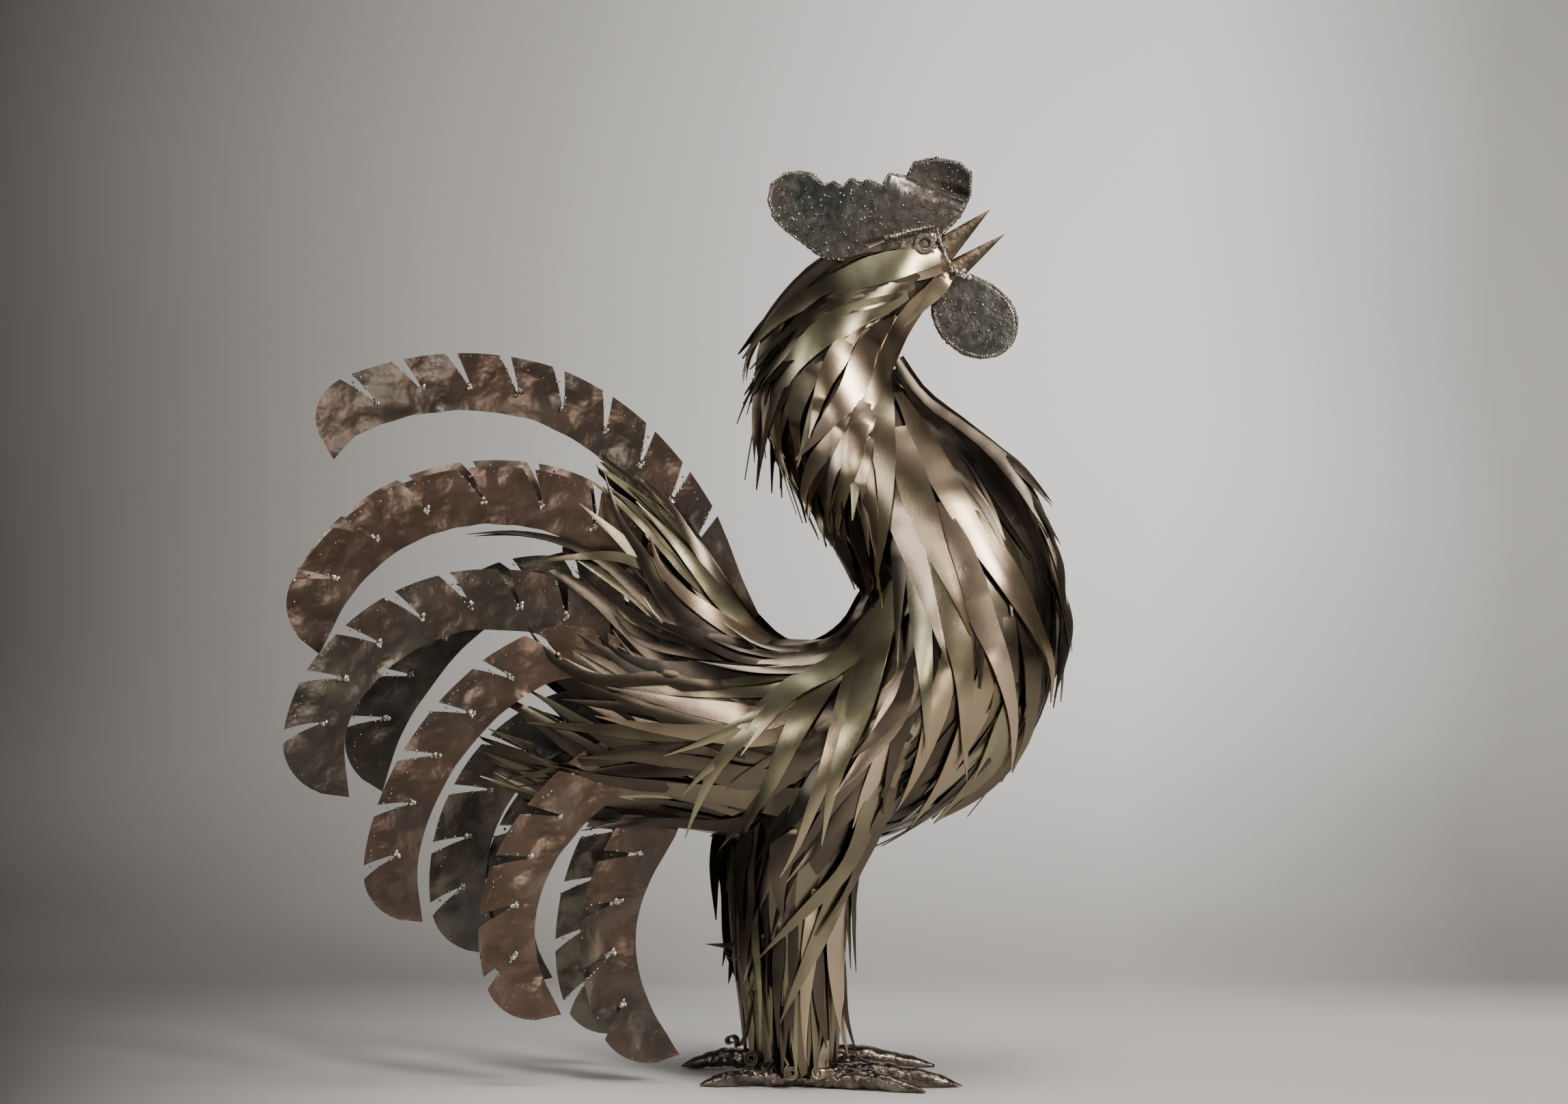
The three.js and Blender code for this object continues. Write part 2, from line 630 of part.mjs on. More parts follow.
const both = [RIGHT, LEFT];
const nuts = SIDES.map(([side, word]) => [`eye_nut_${word}`, eyeNut(side)]);
const nutRoom = joined(both.map((side) => eyeNut(side, WELD_GAP)));
const [neck, neckRoom] = coat((grow) => bodyForm(0, NECK_END, grow), NECK_ROWS, bodyPoint, both, 11);
const [body, bodyRoom] = coat((grow) => bodyForm(NECK_END, BODY_END, grow), BODY_ROWS, bodyPoint, both, 31);
const legs = SIDES.map(([side, word]) => {
  const [leg] = coat((grow) => legForm(side, grow), LEG_ROWS, legPoint, [side], 71);
  return { word, side, leg };
});
const upperBeak = mandible(UPPER_BEAK).subtract(neckRoom);
const beakRoom = mandible(UPPER_BEAK, WELD_GAP).add(mandible(LOWER_BEAK, WELD_GAP));
const curlRooms = joined(Object.values(OFFCUTS).map(curlRoom));

const solids = Object.fromEntries([
  ['head_and_neck_strips', neck.subtract(nutRoom)],
  ['body_strips', body.subtract(neckRoom).subtract(plateRoom)],
  ['comb', comb().subtract(neckRoom)],
  ...SIDES.map(([side, word]) => [`wattle_${word}`, wattle(side).subtract(neckRoom).subtract(beakRoom)]),
  ['upper_beak', upperBeak],
  ['lower_beak', mandible(LOWER_BEAK).subtract(neckRoom).subtract(mandible(UPPER_BEAK, WELD_GAP))],
  ...nuts,
  ...legs.flatMap(({ word, side, leg }) => [
    [`leg_strips_${word}`, leg.subtract(joined([
      bodyRoom, plateRoom, curlRooms, spur(side, WELD_GAP), foot(side, WELD_GAP),
    ]))],
    [`spur_${word}`, spur(side)],
    [`foot_${word}`, foot(side).subtract(curlRooms)],
  ]),
  ...Object.entries(plates),
  ...Object.entries(OFFCUTS).map(([name, middle]) => [name, curl(middle)]),
]);

const steel = (color, roughness) =>
  new THREE.MeshStandardMaterial({ color, roughness, metalness: 1 });
// Each kind of piece by the first letters of its name.
const FINISHES = {
  head: steel(0x6e6050, 0.36),
  body: steel(0x6e6050, 0.36),
  leg: steel(0x5f5548, 0.38),
  comb: steel(0x6a5a50, 0.48),
  wattle: steel(0x6a5a50, 0.48),
  upper: steel(0x57524a, 0.4),
  lower: steel(0x57524a, 0.4),
  eye: steel(0x75716a, 0.34),
  spur: steel(0x57524a, 0.4),
  foot: steel(0x504a42, 0.55),
  tail: steel(0x6b5550, 0.42),
  ankle: steel(0x6c6850, 0.4),
};

const group = new THREE.Group();
for (const [name, solid] of Object.entries(solids)) {
  const mesh = new THREE.Mesh(geometryOf(mainBody(solid)), FINISHES[name.split('_')[0]]);
  mesh.name = name;
  group.add(mesh);
}

// The origin is on the ground, below the middle of the outline.
const middle = new THREE.Box3().setFromObject(group).getCenter(vec());
for (const mesh of group.children) mesh.position.set(-middle.x, -middle.y, 0);

export default group;
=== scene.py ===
import math
import random

import bmesh
import bpy
import numpy as np
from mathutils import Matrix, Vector, noise


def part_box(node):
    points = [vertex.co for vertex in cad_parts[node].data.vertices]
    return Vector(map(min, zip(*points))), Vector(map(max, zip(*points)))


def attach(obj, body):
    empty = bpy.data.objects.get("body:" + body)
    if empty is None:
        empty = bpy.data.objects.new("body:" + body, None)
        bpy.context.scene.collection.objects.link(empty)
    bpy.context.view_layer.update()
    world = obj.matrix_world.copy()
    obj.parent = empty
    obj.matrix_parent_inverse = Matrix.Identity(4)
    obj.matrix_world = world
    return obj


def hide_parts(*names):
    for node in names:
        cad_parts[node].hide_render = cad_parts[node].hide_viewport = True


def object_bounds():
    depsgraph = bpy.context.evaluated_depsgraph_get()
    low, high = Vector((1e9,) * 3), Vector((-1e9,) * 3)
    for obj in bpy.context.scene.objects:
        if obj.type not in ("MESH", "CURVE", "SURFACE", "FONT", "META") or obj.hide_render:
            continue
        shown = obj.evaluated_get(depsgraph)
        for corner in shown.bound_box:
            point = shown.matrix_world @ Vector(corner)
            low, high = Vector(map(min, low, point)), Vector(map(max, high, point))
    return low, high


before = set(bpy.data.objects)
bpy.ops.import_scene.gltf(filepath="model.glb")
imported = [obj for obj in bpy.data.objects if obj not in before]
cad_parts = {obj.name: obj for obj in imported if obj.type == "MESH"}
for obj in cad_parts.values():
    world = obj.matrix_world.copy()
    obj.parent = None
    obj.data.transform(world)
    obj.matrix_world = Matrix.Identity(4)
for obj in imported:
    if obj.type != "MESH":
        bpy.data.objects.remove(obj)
packed_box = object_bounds()

# Places and sizes

RIGHT = -1  # the rooster's right side, which faces the camera
LEFT = 1
SIDES = ((RIGHT, "right"), (LEFT, "left"))
DRAWN_HEIGHT = 800
DRAWN_EYE_X = 214
# The lines of single strips are drawn as seen from here, x z, this far in front of the bird.
SEEN_FROM = np.array([92.2, 457.6])
SEEN_AWAY = 3000
SCALE = (packed_box[1][2] - packed_box[0][2]) / DRAWN_HEIGHT

nut_low, nut_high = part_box("eye_nut_right")
far_nut_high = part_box("eye_nut_left")[1]
SHIFT_X = (nut_low[0] + nut_high[0]) / 2 / SCALE - DRAWN_EYE_X
SHIFT_Y = (nut_low[1] + far_nut_high[1]) / 2 / SCALE

STRIP_SHEET = 0.9
TAIL_SHEET = 2.5
COMB_SHEET = 4
TEXTURE_UNIT = 100  # millimetres to one unit of the textures that run along a sheet


def to_frame(points):
    """Drawn millimetres to metres in the frame."""
    return (np.asarray(points, float) + [SHIFT_X, SHIFT_Y, 0]) * SCALE


# Back line x z, front line x z and half width, from the beak's root to the end of the saddle.
STATIONS = [
    [229, 731, 235, 705, 15],
    [195, 724, 220, 689, 25],
    [148, 710, 198, 664, 33],
    [109, 680, 186, 634, 41],
    [84, 637, 192, 611, 48],
    [78, 583, 213, 585, 54],
    [93, 537, 249, 559, 62],
    [119, 493, 285, 528, 72],
    [140, 458, 311, 492, 82],
    [154, 428, 327, 446, 90],
    [157, 404, 331, 392, 96],
    [147, 387, 319, 334, 100],
    [130, 377, 289, 285, 101],
    [111, 373, 237, 240, 99],
    [93, 376, 167, 208, 94],
    [78, 385, 92, 203, 87],
    [63, 400, 24, 217, 79],
    [46, 425, -27, 224, 70],
    [25, 456, -74, 225, 61],
    [-2, 486, -111, 239, 52],
    [-34, 514, -148, 254, 44],
    [-72, 536, -186, 266, 36],
]
NECK_END = 5.5
BODY_END = 19
# Back x, front x, middle y, half depth in y and height of a leg, from the thigh to the ankle.
LEG_STATIONS = [
    [108, 212, 60, 40, 300],
    [80, 200, 58, 41, 255],
    [66, 160, 55, 36, 205],
    [64, 146, 53, 32, 160],
    [67, 141, 52, 29, 110],
    [73, 139, 51, 27, 62],
    [78, 137, 50, 25, 11],
]
LEG_TOP = 0.8
LEG_END = 6
FAR_LEG_X = -20  # the far leg stands further back


def leg_shift(side):
    """How far along x a leg stands from where it is drawn."""
    return FAR_LEG_X if side == LEFT else 0


def along(rows, u):
    """Smooth values of a row of stations at the places u."""
    rows = np.asarray(rows, float)
    last = len(rows) - 1
    u = np.clip(np.asarray(u, float), 0, last)
    i = np.minimum(u.astype(int), last - 1)
    t = (u - i)[..., None]
    a, b, c, d = (rows[np.clip(i + n, 0, last)] for n in (-1, 0, 1, 2))
    return 0.5 * (
        2 * b + (c - a) * t + (2 * a - 5 * b + 4 * c - d) * t**2 + (3 * b - 3 * c + d - a) * t**3
    )


def body_point(u, angle, side):
    """Points of the body at station u and angle: 0 is the back line, 180 the front line."""
    back_x, back_z, front_x, front_z, half = np.moveaxis(along(STATIONS, u), -1, 0)
    cos, sin = np.cos(np.radians(angle)), np.sin(np.radians(angle))
    return np.stack(
        [
            (back_x + front_x) / 2 + (back_x - front_x) / 2 * cos,
            side * half * sin,
            (back_z + front_z) / 2 + (back_z - front_z) / 2 * cos,
        ],
        -1,
    )


def leg_point(v, angle, side):
    """Points of a leg at station v and angle: 0 is its back, 90 outside, 180 its front."""
    back, front, middle, half, z = np.moveaxis(along(LEG_STATIONS, v), -1, 0)
    cos, sin = np.cos(np.radians(angle)), np.sin(np.radians(angle))
    x = (back + front) / 2 + (back - front) / 2 * cos + leg_shift(side)
    return np.stack([x, side * (middle + half * sin), z + 0 * x], -1)


def unit(vectors):
    return vectors / np.maximum(np.linalg.norm(vectors, axis=-1, keepdims=True), 1e-9)


def ways(surface, u, angle, side):
    """Points of a guide surface and the unit vectors out of it."""
    step, turn = 0.02, 1
    down = surface(u + step, angle, side) - surface(u - step, angle, side)
    across = surface(u, angle + turn, side) - surface(u, angle - turn, side)
    return surface(u, angle, side), side * unit(np.cross(across, down))


# Sheet metal meshes


class Pile:
    """Collects closed sheets into one mesh, each with a tint and its own lengthwise texture."""

    def __init__(self):
        self.points, self.faces, self.tints, self.textures, self.inner = [], [], [], [], []
        self.size = 0

    def add(self, points, faces, tint, texture=None, inner=False):
        points = np.asarray(points, float).reshape(-1, 3)
        self.faces += [tuple(i + self.size for i in face) for face in faces]
        self.inner += [inner] * len(faces)
        self.points.append(points)
        self.tints.append(np.full(len(points), tint))
        self.textures.append(np.zeros((len(points), 2)) if texture is None else texture)
        self.size += len(points)

    def add_sheet(self, top, out, thickness, tint, texture):
        """A grid of points, rows along and columns across, given the sheet's thickness."""
        rows, columns = top.shape[:2]
        count = rows * columns
        at = np.arange(count).reshape(rows, columns)
        faces = []
        for i in range(rows - 1):
            for j in range(columns - 1):
                a, b, c, d = at[i, j], at[i, j + 1], at[i + 1, j + 1], at[i + 1, j]
                faces += [(a, b, c, d), (a + count, d + count, c + count, b + count)]
        loop = [*at[0, ::-1], *at[1:, 0], *at[-1, 1:], *at[-2:0:-1, -1]]
        for a, b in zip(loop, loop[1:] + loop[:1]):
            faces.append((a, b, b + count, a + count))
        both = np.concatenate([top.reshape(-1, 3), (top - out * thickness).reshape(-1, 3)])
        self.add(both, faces, tint, np.concatenate([texture, texture]))

    def add_rings(self, rings, inner=False):
        """A closed form through rings of points, its two ends capped."""
        around = len(rings[0])
        at = np.arange(len(rings) * around).reshape(-1, around)
        faces = [tuple(at[0, ::-1]), tuple(at[-1])]
        for a, b in zip(at, at[1:]):
            faces += [(a[i], a[(i + 1) % around], b[(i + 1) % around], b[i]) for i in range(around)]
        self.add(np.concatenate(rings), faces, 0.5, inner=inner)

    def drawn_mesh(self, name):
        """The sheets as a mesh in drawn millimetres."""
        return closed_mesh(name, np.concatenate(self.points), self.faces)

    def piece(self, name, materials, node_names=(), slot=None, sharp=35):
        """The finished piece, riding on the one body."""
        mesh = closed_mesh(name, to_frame(np.concatenate(self.points)), self.faces)
        for material in materials:
            mesh.materials.append(material)
        mesh.polygons.foreach_set("material_index", np.array(self.inner, int))
        tint = mesh.attributes.new("tint", "FLOAT", "POINT")
        tint.data.foreach_set("value", np.concatenate(self.tints).astype(np.float32))
        layer = mesh.uv_layers.new(name="along")
        corners = np.zeros(len(mesh.loops), int)
        mesh.loops.foreach_get("vertex_index", corners)
        textures = np.concatenate(self.textures)[corners]
        layer.data.foreach_set("uv", textures.astype(np.float32).ravel())
        return placed(name, mesh, node_names, sharp)


def closed_mesh(name, points, faces):
    """A mesh whose closed shells all face outwards."""
    mesh = bpy.data.meshes.new(name)
    mesh.from_pydata(points.tolist(), [], faces)
    shells = bmesh.new()
    shells.from_mesh(mesh)
    bmesh.ops.recalc_face_normals(shells, faces=shells.faces)
    shells.to_mesh(mesh)
    shells.free()
    return mesh


def linked(name, data):
    """A new object in the scene."""
    item = bpy.data.objects.new(name, data)
    bpy.context.scene.collection.objects.link(item)
    return item


def finished_mesh(carrier):
    """The mesh that an object's modifiers make of it. The object itself goes."""
    bpy.context.view_layer.update()
    finished = carrier.evaluated_get(bpy.context.evaluated_depsgraph_get())
    mesh = bpy.data.meshes.new_from_object(finished)
    bpy.data.objects.remove(carrier)
    return mesh


def placed(name, mesh, node_names=(), sharp=35):
    """An object of the mesh, smooth up to the sharp angle, standing for the named solids."""
    mesh.polygons.foreach_set("use_smooth", [True] * len(mesh.polygons))
    mesh.set_sharp_from_angle(angle=math.radians(sharp))
    piece = linked(name, mesh)
    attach(piece, "root")
    if node_names:
        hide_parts(*node_names)
    return piece


# Feather strips

ACROSS = np.array([-1, -0.6, 0, 0.6, 1])
ROOT_WIDTH_OF_STRIP = 0.4  # of its full width
WIDENED_BY = 0.6  # of the way to where the strip begins to taper
TIP_WIDTH = 0.025
TAPER = 0.9  # below 1 the edges of a tip bow outwards
SKEW = 0.35  # of the half width, that a tip may lean to a side
ROLL = 7  # degrees that a strip may lie turned about its line
TWIST = 12  # degrees more at its tip
CAMBER = (0.015, 0.05)  # of its width
TUCK = 4  # how deep its root goes under its neighbours
TUCKED = 0.12  # of its length


def lengths(point):
    """How far along its line each point lies."""
    return np.concatenate([[0], np.cumsum(np.linalg.norm(np.diff(point, axis=0), axis=1))])


def sheet_texture(across, point, shift=0):
    """Texture places of a grid of points: across a sheet, and along its line."""
    u = across / TEXTURE_UNIT + shift
    v = lengths(point)[:, None] / TEXTURE_UNIT + 0 * across
    return np.stack([u, v], -1).reshape(-1, 2)


def blade(pile, point, out, width, lift, full_at, tint, draw):
    """A tapered strip of springy sheet along a row of points, standing off by lift at each."""
    t = np.linspace(0, 1, len(point))
    run = unit(np.gradient(point, axis=0))
    out = unit(out - run * np.sum(out * run, axis=1, keepdims=True))
    edge = np.cross(run, out)
    wide = np.minimum(ROOT_WIDTH_OF_STRIP + (1 - ROOT_WIDTH_OF_STRIP) * t / (WIDENED_BY * full_at), 1)
    wide = wide * np.clip((1 - t) / (1 - full_at), TIP_WIDTH, 1) ** TAPER
    skew = draw.uniform(-SKEW, SKEW) * np.maximum(0, (t - full_at) / (1 - full_at))
    roll = math.radians(draw.uniform(-ROLL, ROLL)) + math.radians(draw.uniform(-TWIST, TWIST)) * t
    camber = draw.uniform(*CAMBER)
    height = lift - TUCK * np.maximum(0, 1 - t / TUCKED)
    across = (ACROSS[None, :] * wide[:, None] + skew[:, None]) * width / 2
    rise = height[:, None] + across * np.sin(roll)[:, None]
    rise = rise + camber * width * wide[:, None] * (1 - ACROSS[None, :] ** 2)
    top = point[:, None] + edge[:, None] * across[..., None] + out[:, None] * rise[..., None]
    texture = sheet_texture(across, point, draw.uniform(0, 9))
    pile.add_sheet(top, out[:, None], STRIP_SHEET, tint, texture)


STEPS = 14  # sections along a strip of the rows
BOW = 4  # degrees that its line may bow round the body
FREE_FROM = (0.45, 0.65)  # of its length, where its tip leaves the surface
LIFT_BEND = 1.4  # how late along its length it rises
ROW_FULL_AT = (0.3, 0.5)  # of its length, where it begins to taper
ROW_TINTS = (0.03, 0.08, 0.14, 0.2, 0.28, 0.4, 0.55)


def feather(pile, surface, side, start, end, width, lift, loose, draw):
    """A strip of a row from start to end, each a station and an angle, its tip springing free."""
    t = np.linspace(0, 1, STEPS)
    bow = draw.uniform(-BOW, BOW)
    u = start[0] + (end[0] - start[0]) * t
    angle = start[1] + (end[1] - start[1]) * t + bow * np.sin(math.pi * t)
    point, out = ways(surface, u, angle, side)
    run = unit(np.gradient(point, axis=0))
    # The tip leaves the surface and goes on straight, as springy sheet does.
    leave = int(STEPS * draw.uniform(*FREE_FROM))
    length = lengths(point)
    past = np.maximum(length - length[leave], 0)
    straight = point[leave] + past[:, None] * run[leave]
    loosened = (loose * (past > 0))[:, None]
    point = point * (1 - loosened) + straight * loosened
    tint = draw.choice(ROW_TINTS)
    blade(pile, point, out, width, 0.5 + lift * t**LIFT_BEND, draw.uniform(*ROW_FULL_AT), tint, draw)


def lay_rows(pile, rows, surface, side, seed):
    """Rows of strips: first and last root, first and last tip, how many, width, lift, looseness."""
    draw = random.Random(seed)
    for (root_a, root_b), (tip_a, tip_b), count, width, lift, loose in rows:
        for i in range(count):
            share = i / (count - 1)
            start = [a + (b - a) * share for a, b in zip(root_a, root_b)]
            end = [a + (b - a) * share for a, b in zip(tip_a, tip_b)]
            start[0] += draw.uniform(-0.25, 0.25)
            end[0] += draw.uniform(-0.4, 0.6)
            end[1] += draw.uniform(-6, 6)
            high = lift + draw.uniform(-1, 1)
            wide = width * draw.uniform(0.8, 1.2)
            slack = min(1, max(0, loose + draw.uniform(-0.25, 0.25)))
            feather(pile, surface, side, start, end, wide, high, slack, draw)


# The lowest layers come first, and each row lies over the roots of the one before it.
NECK_ROWS = [
    [((4.9, 4), (4.9, 118)), ((8.9, 4), (9.6, 70)), 8, 24, 2, 0.4],
    [((4.0, 6), (4.2, 120)), ((7.9, 2), (9.2, 60)), 8, 24, 2, 0.5],
    [((3.0, 4), (3.2, 135)), ((6.9, 1), (8.4, 58)), 8, 24, 2, 0.6],
    [((2.0, 8), (2.4, 150)), ((5.8, 0), (7.4, 50)), 8, 23, 2, 0.6],
    [((1.1, 10), (1.5, 160)), ((4.7, 0), (6.1, 38)), 7, 22, 2, 0.6],
    [((0.4, 20), (0.7, 165)), ((3.6, 2), (5.1, 30)), 7, 20, 1, 0.5],
]
BODY_ROWS = [
    [((17.4, 3), (17.2, 172)), ((21.2, 3), (20.6, 168)), 12, 19, 2, 0.7],
    [((16.2, 3), (16.0, 174)), ((20.4, 4), (19.8, 168)), 12, 20, 2, 0.5],
    [((14.9, 3), (14.6, 174)), ((19.2, 6), (18.6, 166)), 12, 22, 2, 0.4],
    [((13.6, 3), (13.3, 174)), ((17.6, 6), (16.9, 160)), 11, 25, 1, 0.2],
    [((12.4, 60), (12.2, 176)), ((15.8, 100), (15.2, 170)), 8, 27, 1, 0.2],
    [((12.4, 12), (12.0, 60)), ((16.5, 8), (16.0, 96)), 6, 26, 1, 0.1],
    [((10.9, 68), (10.9, 176)), ((14.1, 96), (13.9, 174)), 8, 27, 1, 0.3],
    [((11.2, 30), (10.8, 64)), ((14.8, 30), (15.2, 92)), 5, 26, 1, 0.1],
    [((9.3, 60), (9.2, 176)), ((12.9, 86), (12.8, 174)), 8, 27, 2, 0.4],
    [((9.4, 38), (9.2, 58)), ((13.4, 40), (13.6, 66)), 4, 24, 1, 0.1],
    [((7.6, 54), (7.6, 176)), ((11.7, 74), (11.5, 174)), 9, 27, 2, 0.3],
    [((6.0, 60), (6.0, 176)), ((10.1, 72), (10.0, 174)), 8, 27, 2, 0.3],
    [((4.6, 84), (4.4, 176)), ((8.7, 78), (8.7, 174)), 7, 25, 2, 0.3],
]
LEG_ROWS = [
    [((4.0, -40), (4.0, 300)), ((6.1, -40), (6.1, 300)), 14, 15, 0, 0.1],
    [((2.6, -40), (2.6, 300)), ((5.6, -40), (5.6, 300)), 13, 17, 0, 0.2],
    [((1.2, -20), (1.2, 280)), ((4.2, -20), (4.4, 280)), 11, 20, 1, 0.3],
    [((0.4, 20), (0.3, 176)), ((3.0, 10), (3.4, 120)), 7, 22, 1, 0.4],
]

# Strips that lie on top, each its own: full width, how far its tip stands off, its tone, and its
# line x z from root to tip. A tone is the strip's heat tint, and partly painted light: some tones
# were set darker as painted shade where the strips should look shaded.
# The darkest tone is partly painted shade: many of its strips are narrow and stand for shaded gaps.
SHADED_DARK, BROWN, OLIVE, GREEN, BRONZE, COPPER = 0.04, 0.22, 0.4, 0.57, 0.74, 0.93
NECK_STRIPS = [
    (14, 5, SHADED_DARK, 96, 668, 80, 645, 72, 606, 68, 568, 68, 535),
    (13, 8, SHADED_DARK, 100, 655, 84, 626, 78, 594, 75, 560, 71, 536),
    (10, 8, SHADED_DARK, 86, 590, 92, 560, 100, 530, 113, 496),
    (6, 9, SHADED_DARK, 84, 575, 89, 545, 94, 522),
    (13, 7, SHADED_DARK, 112, 560, 119, 522, 123, 494, 128, 461),
    (13, 8, SHADED_DARK, 122, 560, 131, 513, 140, 462),
    (16, 6, BROWN, 150, 560, 130, 535, 118, 505, 113, 485),
    (18, 6, BROWN, 158, 590, 146, 556, 140, 530, 144, 494, 152, 455),
    (18, 7, BRONZE, 165, 600, 158, 570, 154, 541, 148, 503, 146, 472),
    (16, 6, COPPER, 168, 560, 162, 540, 160, 513, 166, 484, 171, 455),
    (14, 6, BRONZE, 160, 560, 166, 522, 176, 465, 184, 408),
    (24, 8, BRONZE, 182, 614, 175, 576, 179, 532, 181, 478, 178, 426),
    (15, 5, OLIVE, 96, 610, 87, 586, 81, 564, 91, 538),
    (17, 6, BRONZE, 112, 626, 102, 599, 91, 556, 98, 519),
    (16, 6, BRONZE, 150, 575, 137, 554, 121, 530, 113, 492),
    (13, 6, OLIVE, 158, 560, 146, 520, 134, 492, 140, 462),
    (18, 6, COPPER, 170, 580, 158, 562, 141, 532, 139, 500),
    (19, 6, BRONZE, 124, 625, 110, 595, 106, 568, 110, 530),
    (19, 6, BRONZE, 150, 650, 133, 614, 125, 587, 120, 556),
    (17, 3, SHADED_DARK, 190, 626, 212, 590, 250, 560, 288, 530, 314, 488, 330, 440, 336, 392),
    (17, 4, BROWN, 190, 618, 213, 580, 246, 545, 268, 506, 289, 474, 306, 446, 324, 420),
    (27, 6, BRONZE, 190, 596, 212, 552, 238, 503, 259, 463, 280, 427, 297, 394, 311, 361),
    (24, 7, COPPER, 186, 520, 191, 497, 205, 465, 219, 427, 230, 391, 239, 358),
    (27, 9, BRONZE, 192, 566, 203, 520, 222, 470, 241, 430, 258, 386),
    (28, 7, COPPER, 196, 672, 167, 636, 152, 598, 130, 564, 110, 535),
    (22, 1, BRONZE, 238, 702, 216, 682, 190, 650),
    (22, 7, BRONZE, 232, 699, 199, 662, 181, 629, 169, 598, 154, 568, 139, 541),
    (13, 4, BROWN, 178, 727, 136, 712, 104, 688, 77, 656, 62, 626, 58, 604),
    (7, 4, SHADED_DARK, 190, 735, 150, 723, 112, 701, 84, 672, 64, 640, 55, 610),
    (21, 4, OLIVE, 206, 691, 164, 679, 123, 663, 98, 641, 82, 612, 76, 585),
    (25, 6, GREEN, 200, 682, 139, 655, 110, 630, 93, 602, 84, 568, 86, 548),
    (28, 5, GREEN, 228, 715, 188, 706, 148, 693, 112, 675, 82, 653, 58, 624),
]
